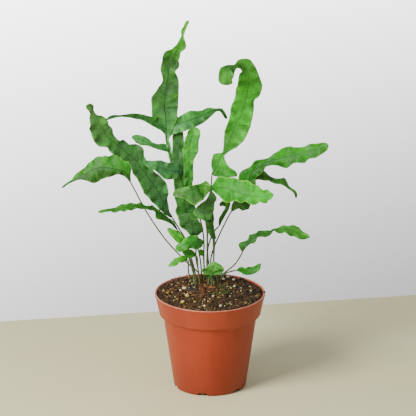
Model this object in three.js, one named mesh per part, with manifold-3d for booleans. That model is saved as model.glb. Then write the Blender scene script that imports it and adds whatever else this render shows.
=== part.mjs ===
// A small strap-leaved fern in a terracotta-coloured plastic nursery pot.
// Millimetres, +Z up, with the origin in the middle of the pot's flat base. The plant's front looks along -Y.
import * as THREE from "three";
import { mergeVertices } from "three/addons/utils/BufferGeometryUtils.js";
import Module from "manifold-3d";

const wasm = await Module();
wasm.setup();

// Pot
const RIM_RADIUS = 52.5;
const POT_HEIGHT = 93;
const COLLAR_DEPTH = 20;
const SHOULDER_DROP = 2.5; // the collar's underside slopes in over this height
const SHOULDER_RADIUS = 48.3;
const BODY_TOP_RADIUS = 44.4;
const BODY_FOOT_RADIUS = 34.5;
const BASE_RADIUS = 33.3;
const BASE_ROUND = 3;
const WALL = 1.2;
const FLOOR = 1.4;
const SIDES = 44; // of the pot and the soil, so that their facets run alike

// Drain slots in the corner between the pot's wall and its floor
const SLOT_COUNT = 6;
const SLOT_FIRST_ANGLE = -12; // degrees to the right of the front
const SLOT_WIDTH = 9.5;
const SLOT_HEIGHT = 2.8;
const SLOT_INNER_RADIUS = 27;

// Soil
const GAP = 0.3; // between pieces that touch on the real plant
const SOIL_INSET = 0.45; // from the pot's wall, measured level
const SOIL_EDGE = 91.3;
const SOIL_CROWN = 1.2; // the middle stands this much over the edge
const SOIL_LUMP = 0.55;
const SOIL_RING_STEP = 8;

// Rhizome
const RHIZOME_RADIUS = 4.2;
const RHIZOME_SIDES = 8;
const RHIZOME_STEP = 4;

// Fronds
const STIPE_RADIUS = 0.8;
const STIPE_SIDES = 6;
const STIPE_STEP = 13;
const HOLE_CLEARANCE = 0.55;
const HOLE_TOP = 96;
const FOOT_DEPTH = 80; // height of each stipe's lower end, inside the soil
const FOOT_TOP = 91;
const BLADE_THICKNESS = 0.8;
const CELLS_ACROSS = 4;
const LOOK_DOWN = 0.364; // a thing this share of its depth seems higher to an eye that looks 20 degrees down

const TERRACOTTA = "#c2603c";
const PEAT = "#3b2a1e";
const SCALES = "#7a4326";
const BLUE_GREEN = "#55803f";
const DEEP_GREEN = "#4a7038";
const FRESH_GREEN = "#6fa84b";
const LIME = "#74b94a";

// A closed geometry as a solid, once the vertices that its faces share are merged.
function solidOf(geometry) {
  const bare = geometry.clone();
  bare.deleteAttribute("normal");
  bare.deleteAttribute("uv");
  const merged = mergeVertices(bare, 1e-4);
  return new wasm.Manifold(
    new wasm.Mesh({
      numProp: 3,
      vertProperties: new Float32Array(merged.attributes.position.array),
      triVerts: new Uint32Array(merged.index.array),
    }),
  );
}

// The largest body of a solid, as a named mesh.
function meshOf(name, solid, colour, roughness) {
  const bodies = solid.decompose().sort((a, b) => b.volume() - a.volume());
  const data = bodies[0].getMesh();
  const geometry = new THREE.BufferGeometry();
  geometry.setAttribute("position", new THREE.BufferAttribute(data.vertProperties, 3));
  geometry.setIndex(new THREE.BufferAttribute(data.triVerts, 1));
  geometry.computeVertexNormals();
  const material = new THREE.MeshStandardMaterial({ color: colour, roughness, metalness: 0 });
  const mesh = new THREE.Mesh(geometry, material);
  mesh.name = name;
  return mesh;
}

// A profile of [radius, height] points turned round the Z axis.
function turned(profile, sides) {
  const points = profile.map(([radius, height]) => new THREE.Vector2(radius, height));
  return new THREE.LatheGeometry(points, sides).rotateX(Math.PI / 2);
}

// A round bar along a smooth curve.
function tubeAlong(curve, radius, sides, steps) {
  const section = new THREE.Shape();
  for (let i = 0; i < sides; i++) {
    const angle = (2 * Math.PI * i) / sides;
    const corner = [radius * Math.cos(angle), radius * Math.sin(angle)];
    if (i === 0) section.moveTo(...corner);
    else section.lineTo(...corner);
  }
  section.closePath();
  return new THREE.ExtrudeGeometry(section, { steps, extrudePath: curve });
}

function smoothCurve(points) {
  return new THREE.CatmullRomCurve3(
    points.map((p) => new THREE.Vector3(...p)),
    false,
    "centripetal",
  );
}

// Uniform Catmull-Rom value of one number between b and c.
function blend(a, b, c, d, t) {
  return (
    b + 0.5 * t * (c - a + t * (2 * a - 5 * b + 4 * c - d + t * (3 * (b - c) + d - a)))
  );
}

// Cross-sections a step apart through hand-placed rows of numbers.
function resample(rows, step) {
  const found = [];
  let along = 0;
  for (let i = 0; i < rows.length - 1; i++) {
    const [a, b, c, d] = [rows[i - 1] ?? rows[i], rows[i], rows[i + 1], rows[i + 2] ?? rows[i + 1]];
    const length = Math.hypot(c[0] - b[0], c[1] - b[1], c[2] - b[2]);
    const count = Math.max(1, Math.round(length / step));
    for (let k = 0; k < count + (i === rows.length - 2 ? 1 : 0); k++) {
      const t = k / count;
      const row = b.map((_, n) => blend(a[n], b[n], c[n], d[n], t));
      found.push({ point: new THREE.Vector3(...row), left: row[3], right: row[4], along: along + t * length });
    }
    along += length;
  }
  return found;
}

// The rows of a blade: [x, y, z, left, right] from base to tip, the rib's point and the half widths.
// A rib is [x, height, y], with the height as it's seen from the front and 20 degrees above.
function rowsOf({ rows, rib }) {
  return rows ?? rib.map(([x, seen, y]) => [x, y, seen - LOOK_DOWN * y, 0, 0]);
}

// How far a margin, [x, seen height] from base to tip, lies from a rib's point along a direction.
function reachTo(margin, point, direction) {
  const [x, seen] = [point.x, point.z + LOOK_DOWN * point.y];
  const [dx, dh] = [direction.x, direction.z + LOOK_DOWN * direction.y];
  let nearest = Infinity;
  for (let i = 0; i < margin.length - 1; i++) {
    const [wx, wh] = [margin[i][0] - x, margin[i][1] - seen];
    const [ex, eh] = [margin[i + 1][0] - margin[i][0], margin[i + 1][1] - margin[i][1]];
    const turn = dx * eh - dh * ex;
    if (Math.abs(turn) < 1e-9) continue;
    const reach = (wx * eh - wh * ex) / turn;
    const share = (wx * dh - wh * dx) / turn;
    if (reach > 0.05 && share >= 0 && share <= 1) nearest = Math.min(nearest, reach);
  }
  return nearest === Infinity ? 0.8 : nearest;
}

// The middle surface of a blade as rows of points from its left margin to its right one.
//   rib, left, right: the rib and the blade's outline on each side of it
//   rows: for a plain blade in place of those, its rib's points and half widths
//   roll, twist: how far the face turns round the rib, in degrees at the base and more by the tip
//   wave, pitch: height of the ruffles at the margins and their spacing
//   cup: how far the margins stand forward of the rib, as a share of the width
function bladeSurface(blade) {
  const { rib, roll = 0, twist = 0, wave = 1, pitch = 14, cup = 0, step = 6 } = blade;
  const stations = resample(rowsOf(blade), step);
  const ends = rib && [rib[0], rib.at(-1)].map(([x, seen]) => [x, seen]);
  const margins = rib && [blade.left, blade.right].map((side) => [ends[0], ...side, ends[1]]);
  const total = stations.at(-1).along;
  const front = new THREE.Vector3(0, -1, 0);
  return stations.map((station, i) => {
    const before = stations[Math.max(0, i - 1)].point;
    const after = stations[Math.min(stations.length - 1, i + 1)].point;
    const forward = after.clone().sub(before).normalize();
    const turn = THREE.MathUtils.degToRad(roll + (twist * station.along) / total);
    const side = forward.clone().cross(front).normalize().applyAxisAngle(forward, turn);
    const face = side.clone().cross(forward);
    const phase = (2 * Math.PI * station.along) / pitch;
    const halves = [-1, 1].map((sign, n) => {
      if (!rib) return (n ? station.right : station.left) / Math.cos(turn);
      const towards = side.clone().multiplyScalar(sign).addScaledVector(face, cup);
      return reachTo(margins[n], station.point, towards);
    });
    const points = [];
    for (let k = 0; k <= CELLS_ACROSS; k++) {
      const across = (2 * k) / CELLS_ACROSS - 1;
      const margin = across * across;
      const half = Math.max(0.8, halves[across < 0 ? 0 : 1]);
      const fade = Math.min(1, half / 4);
      const swing = Math.sin(phase + (across < 0 ? 0 : 2.2));
      const lift = margin * (cup * half + wave * fade * swing);
      points.push(station.point.clone().addScaledVector(side, across * half).addScaledVector(face, lift));
    }
    return points;
  });
}

// A closed sheet of the blade's thickness round its middle surface, split alike on both faces.
function bladeSheet(surface) {
  const rowCount = surface.length;
  const columnCount = surface[0].length;
  const vertices = [];
  const at = (i, k) =>
    surface[THREE.MathUtils.clamp(i, 0, rowCount - 1)][THREE.MathUtils.clamp(k, 0, columnCount - 1)];
  for (const level of [0.5, -0.5])
    for (let i = 0; i < rowCount; i++)
      for (let k = 0; k < columnCount; k++) {
        const lengthwise = at(i + 1, k).clone().sub(at(i - 1, k));
        const crosswise = at(i, k + 1).clone().sub(at(i, k - 1));
        const normal = crosswise.cross(lengthwise).normalize();
        vertices.push(at(i, k).clone().addScaledVector(normal, level * BLADE_THICKNESS));
      }
  const upper = (i, k) => i * columnCount + k;
  const lower = (i, k) => upper(i, k) + rowCount * columnCount;
  const faces = [];
  for (let i = 0; i < rowCount - 1; i++)
    for (let k = 0; k < columnCount - 1; k++) {
      const [a, b, c, d] = [[i, k], [i, k + 1], [i + 1, k + 1], [i + 1, k]];
      const splits = (i + k) % 2 ? [[a, b, c], [a, c, d]] : [[a, b, d], [b, c, d]];
      for (const [p, q, r] of splits) {
        faces.push(upper(...p), upper(...q), upper(...r));
        faces.push(lower(...p), lower(...r), lower(...q));
      }
    }
  const rim = [];
  for (let k = 0; k < columnCount - 1; k++) rim.push([0, k]);
  for (let i = 0; i < rowCount - 1; i++) rim.push([i, columnCount - 1]);
  for (let k = columnCount - 1; k > 0; k--) rim.push([rowCount - 1, k]);
  for (let i = rowCount - 1; i > 0; i--) rim.push([i, 0]);
  rim.forEach((p, n) => {
    const q = rim[(n + 1) % rim.length];
    faces.push(upper(...q), upper(...p), lower(...p));
    faces.push(upper(...q), lower(...p), lower(...q));
  });
  const geometry = new THREE.BufferGeometry().setFromPoints(vertices);
  geometry.setIndex(faces);
  return geometry;
}

// The curve of a frond's stipe, from its foot in the soil into the base of its blade.
function stipeCurve({ foot, stipe, blades }) {
  const [x, y] = foot;
  const intoBlade = rowsOf(blades[0]).slice(0, 2).map((row) => row.slice(0, 3));
  return smoothCurve([[x, y, FOOT_DEPTH], [x, y, FOOT_TOP - 5], [x, y, FOOT_TOP], ...stipe, ...intoBlade]);
}

function stipeSteps(curve) {
  return Math.ceil(curve.getLength() / STIPE_STEP);
}

function frondSolid(frond) {
  const curve = stipeCurve(frond);
  const pieces = [solidOf(tubeAlong(curve, STIPE_RADIUS, STIPE_SIDES, stipeSteps(curve)))];
  for (const blade of frond.blades) pieces.push(solidOf(bladeSheet(bladeSurface(blade))));
  return pieces.reduce((whole, piece) => whole.add(piece));
}

// The clearance round the lower end of a stipe, cut from the soil and the rhizome.
function footHole(frond) {
  const stipe = stipeCurve(frond);
  const route = stipe.getSpacedPoints(stipeSteps(stipe));
  const last = route.findIndex((p) => p.z > HOLE_TOP);
  const lower = route.slice(0, last + 1);
  lower[0].z -= 2 * GAP;
  const curve = new THREE.CatmullRomCurve3(lower, false, "centripetal");
  return solidOf(tubeAlong(curve, STIPE_RADIUS + HOLE_CLEARANCE, STIPE_SIDES, last));
}

// A creeping stem of changing thickness along a path.
function creepingStem(path, grow) {
  const curve = smoothCurve(path);
  const count = Math.ceil(curve.getLength() / RHIZOME_STEP);
  const points = [];
  const faces = [];
  for (let i = 0; i <= count; i++) {
    const u = i / count;
    const forward = curve.getTangentAt(u);
    const beyond = i === 0 ? -grow : i === count ? grow : 0;
    const centre = curve.getPointAt(u).addScaledVector(forward, beyond);
    const side = forward.clone().cross(new THREE.Vector3(0, 0, 1)).normalize();
    const up = side.clone().cross(forward);
    const round = Math.sqrt(Math.max(0.12, 1 - (2 * u - 1) ** 6));
    const radius = RHIZOME_RADIUS * round * (1 - 0.18 * u + 0.08 * Math.sin(9 * u)) + grow;
    for (let k = 0; k < RHIZOME_SIDES; k++) {
      const angle = (2 * Math.PI * k) / RHIZOME_SIDES;
      const bump = radius * (1 + 0.06 * Math.sin(3 * angle + 2.3 * i));
      const rim = centre.clone().addScaledVector(side, bump * Math.cos(angle));
      points.push(rim.addScaledVector(up, bump * Math.sin(angle)));
    }
  }
  const ring = (i, k) => i * RHIZOME_SIDES + (k % RHIZOME_SIDES);
  for (let i = 0; i < count; i++)
    for (let k = 0; k < RHIZOME_SIDES; k++) {
      faces.push(ring(i, k), ring(i + 1, k), ring(i + 1, k + 1));
      faces.push(ring(i, k), ring(i + 1, k + 1), ring(i, k + 1));
    }
  const [start, end] = [points.length, points.length + 1];
  points.push(curve.getPointAt(0).addScaledVector(curve.getTangentAt(0), -grow));
  points.push(curve.getPointAt(1).addScaledVector(curve.getTangentAt(1), grow));
  for (let k = 0; k < RHIZOME_SIDES; k++) {
    faces.push(start, ring(0, k), ring(0, k + 1));
    faces.push(end, ring(count, k + 1), ring(count, k));
  }
  const geometry = new THREE.BufferGeometry().setFromPoints(points);
  geometry.setIndex(faces);
  return solidOf(geometry);
}

const RHIZOME_PATHS = [
  [[-10, 43, 89.5], [-9, 33, 90.5], [-9, 23, 90.5], [-8, 13, 91], [-6.5, 2, 91.2], [-6.5, -9, 90.2]],
  [[-8, 17, 90.2], [-2, 15, 90], [4, 12.5, 90.8]],
];

function rhizomeSolid(grow) {
  return RHIZOME_PATHS.map((path) => creepingStem(path, grow)).reduce((whole, part) => whole.add(part));
}

// Height of the soil's top over a point, gently domed and lumpy.
function soilTop(x, y) {
  const share = Math.hypot(x, y) / RIM_RADIUS;
  const lumps = Math.sin(x / 3.1 + 1) * Math.sin(y / 3.7) + 0.6 * Math.sin((x - y) / 5.3 + 2);
  return SOIL_EDGE + SOIL_CROWN * (1 - share * share) + SOIL_LUMP * lumps;
}

function potWall(height) {
  return BODY_FOOT_RADIUS + ((BODY_TOP_RADIUS - BODY_FOOT_RADIUS) * (height - BASE_ROUND)) / (shoulder - BASE_ROUND);
}

const collarFoot = POT_HEIGHT - COLLAR_DEPTH;
const shoulder = collarFoot - SHOULDER_DROP;
const lipInner = RIM_RADIUS - 0.9 - WALL;

// Inner wall of the pot from its rim down to its floor, moved inwards by a distance.
function innerWall(inset) {
  return [
    [lipInner - inset, POT_HEIGHT - 1.2],
    [SHOULDER_RADIUS - WALL - inset, collarFoot + 0.8],
    [BODY_TOP_RADIUS - WALL - inset, shoulder - 0.2],
    [potWall(FLOOR) - WALL - inset, FLOOR + inset],
  ];
}

function potSolid() {
  const profile = [
    [0, 0],
    [BASE_RADIUS, 0],
    [BASE_RADIUS + 0.7, 0.8],
    [BODY_FOOT_RADIUS, BASE_ROUND],
    [BODY_TOP_RADIUS, shoulder],
    [BODY_TOP_RADIUS + 0.8, shoulder + 0.5],
    [SHOULDER_RADIUS - 0.9, collarFoot - 0.9],
    [SHOULDER_RADIUS, collarFoot + 0.4],
    [RIM_RADIUS - 0.7, POT_HEIGHT - 2.4],
    [RIM_RADIUS, POT_HEIGHT - 1.4],
    [RIM_RADIUS - 0.2, POT_HEIGHT - 0.3],
    [RIM_RADIUS - 0.9, POT_HEIGHT],
    [RIM_RADIUS - 1.7, POT_HEIGHT - 0.3],
    ...innerWall(0),
    [0, FLOOR],
  ];
  let pot = solidOf(turned(profile, SIDES));
  for (let i = 0; i < SLOT_COUNT; i++) {
    const slot = new THREE.BoxGeometry(SLOT_WIDTH, 2 * (RIM_RADIUS - SLOT_INNER_RADIUS), 2 * SLOT_HEIGHT);
    slot.translate(0, -RIM_RADIUS, 0);
    slot.rotateZ(THREE.MathUtils.degToRad(SLOT_FIRST_ANGLE + (360 * i) / SLOT_COUNT));
    pot = pot.subtract(solidOf(slot));
  }
  return pot;
}

// Perlite and bark grains that stand out of the soil: [x, y, size].
const GRAINS = [
  [-28.3, 6.6, 1.4], [-24.6, 9.4, 2], [-21.9, -10.7, 2.2], [-25.9, -27.7, 2], [10.1, -34.9, 1.6], [12.8, 36.5, 1.7],
  [17.3, 43.5, 1.8], [23.4, 17.5, 1.5], [22.6, 36, 1.6], [38.9, 3, 1.3], [29.6, 12, 1.3], [3.1, -9.7, 1.3],
  [19.1, -13.3, 1.3], [-4.9, -36.6, 1.4],
];

function soilSolid(holes) {
  const wall = innerWall(SOIL_INSET).reverse();
  const rimRadius = wall.at(-1)[0] - 1.2;
  const profile = [[0, wall[0][1]], ...wall.slice(0, -1), [rimRadius, SOIL_EDGE]];
  for (let radius = rimRadius - 3; radius > 1; radius -= SOIL_RING_STEP) profile.push([radius, SOIL_EDGE]);
  profile.push([0, SOIL_EDGE]);
  const geometry = turned(profile, SIDES);
  const place = geometry.attributes.position;
  for (let i = 0; i < place.count; i++)
    if (Math.abs(place.getZ(i) - SOIL_EDGE) < 1e-3) {
      const [x, y] = [place.getX(i), place.getY(i)];
      const snapped = Math.hypot(x, y) < 1e-3 ? [0, 0] : [x, y];
      place.setZ(i, soilTop(...snapped));
    }
  let soil = solidOf(geometry);
  for (const [x, y, size] of GRAINS) {
    const grain = new THREE.IcosahedronGeometry(size, 0);
    grain.scale(1, 0.85, 0.75);
    grain.rotateZ(x);
    grain.translate(x, y, soilTop(x, y) + 0.1 * size);
    soil = soil.add(solidOf(grain));
  }
  soil = soil.subtract(rhizomeSolid(GAP));
  return holes.reduce((left, hole) => left.subtract(hole), soil);
}

// Each frond has its foot's place in the soil, the route of its stipe and its blades.
// The first blade goes on from the stipe and the others grow from it.
const FRONDS = [
  {
    name: "frond_tall_three_lobed",
    colour: BLUE_GREEN,
    foot: [-4.5, 38],
    stipe: [[-5.7, 36, 108], [-6.3, 35, 138], [-11, 34, 159], [-22, 33, 179], [-32, 31.5, 199]],
    blades: [
      {
        wave: 1, pitch: 17, cup: 0.12,
        rib: [
          [-35, 218.3, 31], [-37, 228.3, 31], [-38.9, 238.3, 31], [-41, 246, 31.4], [-41.5, 255, 32],
          [-42, 270, 33], [-43.3, 280, 33.6], [-42.5, 290, 34.2], [-41.5, 300, 35.2], [-40, 310, 36.4],
          [-38.5, 320, 37.4], [-36.5, 327, 38.2], [-34, 333, 39], [-31, 338, 39.7], [-28.5, 343, 40.2],
          [-26.5, 350, 40.9], [-25.7, 356, 41.7], [-23.5, 361, 42.4], [-20.7, 367.2, 43],
        ],
        left: [
          [-36, 218.3], [-38.8, 228.3], [-40.5, 238.3], [-42.2, 246], [-42.5, 252], [-50, 262], [-55, 270],
          [-55, 280], [-55.7, 288.5], [-55, 290.5], [-51, 296], [-48.5, 300], [-45.5, 303.5], [-44.5, 308],
          [-45.5, 313], [-46.7, 316], [-46.5, 320], [-45.3, 326], [-45, 331], [-43.5, 335], [-41, 337],
          [-36, 338], [-34.5, 340.5], [-32, 342], [-30.3, 345], [-28.5, 348], [-27, 351], [-27, 354],
          [-27.6, 357.5], [-25, 360.5], [-24, 364], [-22.2, 367],
        ],
        right: [
          [-34, 218.3], [-35, 228.3], [-36.9, 238.3], [-38.9, 246], [-39.5, 248], [-35, 258], [-30, 269],
          [-31.5, 272], [-30.5, 280], [-30, 290], [-29.7, 300], [-29.8, 306], [-31, 311], [-33.5, 315.5],
          [-32.5, 317.5], [-29.7, 320], [-29, 323], [-30, 327], [-28.3, 330.5], [-28.6, 334.5],
          [-26, 336.5], [-22.5, 339], [-22.5, 341.5], [-23.8, 347], [-25.3, 351], [-24.5, 354], [-23, 358],
          [-21, 363], [-19.3, 366],
        ],
      },
      {
        wave: 0.6, pitch: 30, roll: 20, cup: 0.1,
        rib: [
          [-41.5, 258, 32.3], [-50, 261, 29], [-56, 264.5, 26.6], [-62, 267.8, 23.7], [-70, 270.3, 19.6],
          [-80, 271.1, 14.2], [-88, 270.8, 10], [-95.5, 269.2, 6], [-98.2, 267.3, 4.5],
        ],
        left: [
          [-42.5, 252], [-44, 255], [-50, 258.5], [-56, 262], [-62, 266], [-66, 267.5], [-70, 268],
          [-76, 269.5], [-83, 270.2], [-88, 269.8], [-93, 268.4], [-96.5, 266.8],
        ],
        right: [
          [-41.5, 264], [-46, 268], [-55, 270], [-60, 271.3], [-64.5, 272.6], [-70, 273.2], [-74, 273.3],
          [-80, 272.2], [-86, 271.6], [-92, 271.7], [-95.5, 270.2],
        ],
      },
      {
        wave: 0.7, pitch: 26, roll: -15, cup: 0.22,
        rib: [
          [-41, 250, 32], [-30, 262, 33.7], [-20, 267, 35.8], [-10, 270.5, 38], [-2, 274.5, 39.7],
          [4, 277, 40.9], [9, 277.6, 41.5], [12, 275.8, 42], [14.5, 271.5, 42.3], [16.3, 268.3, 42.5],
        ],
        left: [
          [-41.5, 258], [-31, 269], [-25, 273], [-19, 276.3], [-12, 276], [-7, 276.5], [-4, 278.5],
          [-0.5, 279.7], [3, 278.6], [6, 278.4], [10.5, 279], [12.7, 277], [14.7, 273.5], [16.5, 269.5],
        ],
        right: [
          [-40, 246], [-37, 252], [-25, 255.5], [-20, 258], [-12, 261], [-6, 264.5], [-1, 269], [3, 273],
          [6, 276], [8.5, 276.4], [11, 274.5], [13, 271], [14.8, 268],
        ],
      },
      {
        wave: 0.4, pitch: 14, roll: 20, twist: 20,
        rib: [
          [-38.7, 238.3, 31], [-45, 239.8, 30.4], [-50, 240.2, 29.3], [-55, 241.8, 27.8],
          [-60, 244.8, 26.4], [-66, 247, 25], [-71, 248.8, 24.1], [-74.5, 250, 23.8],
        ],
        left: [
          [-39, 234.5], [-45, 236.2], [-50, 237.5], [-55, 239.5], [-60, 241.5], [-66, 242], [-70, 244.5],
          [-73, 248],
        ],
        right: [
          [-39.5, 242.5], [-46, 243], [-50, 242.5], [-54, 244], [-58, 247.5], [-62, 250], [-67, 251.5],
          [-72, 252],
        ],
      },
    ],
  },
  {
    name: "frond_centre_lobed",
    colour: FRESH_GREEN,
    foot: [-8, 34.5],
    stipe: [[-9, 30, 113], [-12.3, 27, 131]],
    blades: [
      {
        wave: 0.8, pitch: 19, cup: 0.1,
        rib: [
          [-17, 156, 25], [-19.9, 164, 25], [-22.8, 173.9, 24.5], [-24.2, 186.7, 24], [-25.1, 197.6, 23.5],
          [-26.5, 205.4, 23], [-28, 214.2, 22.5], [-29, 226, 25], [-30.2, 238, 29.5], [-30.6, 248, 34],
          [-30.8, 256, 38], [-31, 263.5, 41],
        ],
        left: [
          [-18.5, 156], [-25, 160], [-30, 168], [-33, 174.5], [-32.5, 177], [-31, 180], [-32, 183],
          [-33.2, 187], [-33.8, 192], [-33.7, 198], [-34.3, 203], [-34.5, 208], [-35, 215], [-36.5, 223.3],
          [-35.8, 230], [-35.5, 238], [-35.5, 248], [-35, 256], [-33, 262],
        ],
        right: [
          [-15.5, 156], [-14.5, 160], [-13.5, 168], [-14, 175], [-15, 186], [-16, 197], [-18, 205],
          [-22, 214], [-23.5, 222], [-24.5, 232], [-25, 240], [-25, 248], [-26, 256], [-28, 262],
        ],
      },
      {
        wave: 1, pitch: 15, roll: 12, cup: 0.1,
        rib: [
          [-21.8, 197.3, 22.8], [-20.6, 206, 20], [-20.2, 216, 18], [-20.2, 226, 16.8], [-19.6, 236, 15.6],
          [-18, 246, 14.8], [-16.3, 254, 14.2], [-15.3, 260, 14],
        ],
        left: [
          [-25.5, 197], [-24, 201], [-24, 210], [-24.3, 222], [-25.5, 232], [-26, 237], [-24.5, 240],
          [-24.5, 245], [-23, 249], [-21, 252.5], [-21.7, 255], [-20.5, 257.5], [-17, 259.7],
        ],
        right: [
          [-17.5, 197], [-17, 201], [-16.3, 208], [-15.8, 214], [-16, 220], [-15.8, 226.5], [-14.5, 228.5],
          [-13, 231.5], [-11.5, 235], [-11.2, 240], [-10.7, 245], [-10.3, 249], [-9.3, 252], [-9.5, 256],
          [-11.3, 258.8], [-14, 259.8],
        ],
      },
      {
        wave: 0.8, pitch: 16, roll: 20, cup: -0.08,
        rib: [
          [-26, 214.7, 22], [-33.2, 215.4, 17.5], [-40.8, 216.3, 14.5], [-47.4, 219.3, 11.5],
          [-54, 221.5, 9.5], [-60, 223, 9], [-63.5, 224.8, 8.8],
        ],
        left: [
          [-26, 209], [-30, 208], [-36, 207.3], [-41, 207], [-45, 208.5], [-48, 212], [-52, 216.5],
          [-57, 217.5], [-62, 222],
        ],
        right: [
          [-27, 221], [-36, 223.3], [-43.5, 224.5], [-45.5, 226], [-50, 226], [-55, 225.4], [-60, 226],
          [-62.8, 226.3],
        ],
      },
    ],
  },
  {
    name: "frond_arching_left",
    colour: BLUE_GREEN,
    foot: [-13, 28],
    stipe: [[-14.2, 27, 103], [-18.5, 25, 121], [-24, 24, 139], [-27.8, 23.5, 146]],
    blades: [
      {
        wave: 1.6, pitch: 13, roll: 14, cup: 0.08,
        rib: [
          [-36.3, 169, 22], [-39.5, 174, 21.2], [-44, 183, 19.7], [-50, 195, 17.5], [-57, 206, 15],
          [-64, 217, 12], [-71, 227, 9], [-79, 234, 5.5], [-88, 242, 1], [-97, 250, -3.2], [-103, 259, -7],
          [-107, 268, -9.8], [-111, 276, -12.5], [-113.5, 283.4, -15],
        ],
        left: [
          [-37.5, 169], [-43.5, 172.5], [-47, 176.5], [-52, 181.5], [-55, 184], [-58.5, 189], [-62.5, 193],
          [-64.5, 198], [-66, 202], [-69, 208], [-73, 213], [-75.5, 220], [-76, 225], [-78, 225.8],
          [-82, 226], [-85, 227.5], [-86.5, 229], [-88, 232], [-90, 232.7], [-93, 233.5], [-95, 235],
          [-96.5, 238.5], [-97.5, 240], [-100, 240.3], [-103, 240], [-104.5, 239.5], [-106, 241],
          [-108, 243.2], [-110, 246], [-111.5, 250], [-112, 254], [-114.5, 258.5], [-113.5, 261.5],
          [-113, 267], [-112.8, 272], [-114, 275.5], [-116.5, 277.5], [-116, 280], [-115.5, 282.5],
        ],
        right: [
          [-35.5, 169.5], [-38, 173], [-39.5, 178], [-40, 185], [-40, 193], [-40.5, 200], [-41.5, 203.5],
          [-44, 206.5], [-46.5, 209.5], [-51, 213], [-55, 217], [-58, 222], [-60.5, 226.5], [-62.5, 229.5],
          [-62.5, 233], [-63, 236.5], [-65, 240.5], [-68, 241.5], [-73, 241.5], [-75, 242.5], [-77, 242],
          [-79, 244.5], [-81.5, 246.5], [-84, 246.3], [-86, 245.8], [-88.5, 248], [-91, 251.5],
          [-92.5, 256], [-92.7, 258.5], [-95, 260.3], [-96.5, 263], [-97.2, 266.5], [-98.5, 268],
          [-101, 270], [-105, 271.3], [-108.5, 273], [-110, 276.5], [-109.3, 279.5], [-110.5, 282],
        ],
      },
    ],
  },
  {
    name: "frond_drooping_left",
    colour: FRESH_GREEN,
    foot: [-9.5, 39.5],
    stipe: [[-11, 40, 97.8], [-22.1, 41.5, 108], [-42.3, 43.5, 130.3], [-61.5, 45.5, 159.8], [-71.4, 47, 178.9]],
    blades: [
      {
        wave: 1.3, pitch: 11, roll: 24, cup: -0.15,
        rib: [
          [-75.7, 204.5, 47.8], [-78.5, 211, 48.4], [-83, 215.5, 48.9], [-90, 217.5, 49.7],
          [-98, 219, 50.7], [-106, 219, 51.6], [-112, 217, 52.3], [-118, 213.5, 53], [-124, 210.5, 54],
          [-130, 206.7, 55], [-136, 202.8, 55.5], [-141.5, 198.6, 56],
        ],
        left: [
          [-76, 204], [-78, 207], [-80.5, 210], [-83, 211.3], [-86, 212], [-88.5, 212.7], [-90.5, 212],
          [-93, 210.5], [-95, 209.7], [-98, 209.5], [-101, 208.5], [-104, 207], [-106.5, 205.3],
          [-108.5, 203.8], [-111.5, 203.2], [-114, 204.5], [-117, 205.8], [-120, 206.8], [-123.5, 207.3],
          [-127, 206.5], [-129.5, 205.3], [-133, 203.8], [-136, 202], [-139, 199.3],
        ],
        right: [
          [-75.3, 208], [-75.5, 212], [-75.2, 220], [-76, 225], [-80, 227], [-85, 229], [-88, 231.5],
          [-90.5, 233], [-93, 232.5], [-95, 230.5], [-97, 229.8], [-99.5, 231.5], [-101, 230.7],
          [-102, 229], [-103.5, 230], [-106, 230.3], [-107.7, 231], [-109, 229], [-110.5, 227.5],
          [-112.5, 226], [-113.5, 224.5], [-116, 223.5], [-118, 221], [-120, 218.5], [-123, 215.5],
          [-126, 213.5], [-128.5, 211.5], [-130, 209], [-130.5, 207.6], [-133, 205.6], [-136, 203.9],
          [-139, 201.4],
        ],
      },
    ],
  },
  {
    name: "frond_narrow_left",
    colour: DEEP_GREEN,
    foot: [-15.5, 23.5],
    stipe: [[-15.6, 23.5, 104], [-19.9, 20, 122.5], [-25, 17.5, 141]],
    blades: [
      {
        wave: 1, pitch: 10, roll: 46, cup: 0.1,
        rib: [
          [-31, 156, 15.5], [-38, 164.8, 13], [-43.5, 169, 11.2], [-48.5, 173, 9.4], [-53, 176.8, 7.8],
          [-58, 178.4, 5.6], [-66, 180.5, 2], [-75, 179.6, -2.2], [-82, 178.8, -5.4], [-89, 176.8, -8.5],
          [-98, 175.8, -12.3], [-106, 174, -15.2],
        ],
        left: [
          [-33, 157.5], [-34.5, 159], [-36, 161.5], [-38.5, 162.7], [-41, 164.5], [-43, 166],
          [-48.5, 166.3], [-51, 168.5], [-52.3, 171], [-52, 174], [-53.5, 175.5], [-57, 176.5], [-65, 178],
          [-70, 177.7], [-73, 177], [-75, 176], [-77, 176.7], [-81.5, 175], [-84.5, 175.8], [-86.5, 174.5],
          [-89, 173.6], [-92, 174], [-94, 175], [-97, 174], [-99, 174.5], [-101, 173.5], [-104.5, 173.4],
        ],
        right: [
          [-31.5, 159], [-37, 167], [-43, 172], [-47, 176], [-51, 177.5], [-52, 181], [-54, 181.8],
          [-57, 180.2], [-60, 180.3], [-63.5, 181.8], [-66, 183.6], [-69.5, 182], [-72.5, 183],
          [-75.5, 183], [-79, 182.2], [-82, 182.6], [-85, 180.8], [-88, 179.5], [-92, 178], [-98, 177.3],
          [-103, 176.3], [-106, 174.5],
        ],
      },
    ],
  },
  {
    name: "frond_curled_tall",
    colour: FRESH_GREEN,
    foot: [3, 36.5],
    stipe: [[3.5, 35, 113], [3, 33, 139], [2.5, 31, 160], [1.5, 29, 186]],
    blades: [
      {
        wave: 1, pitch: 24, cup: 0.12,
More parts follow.
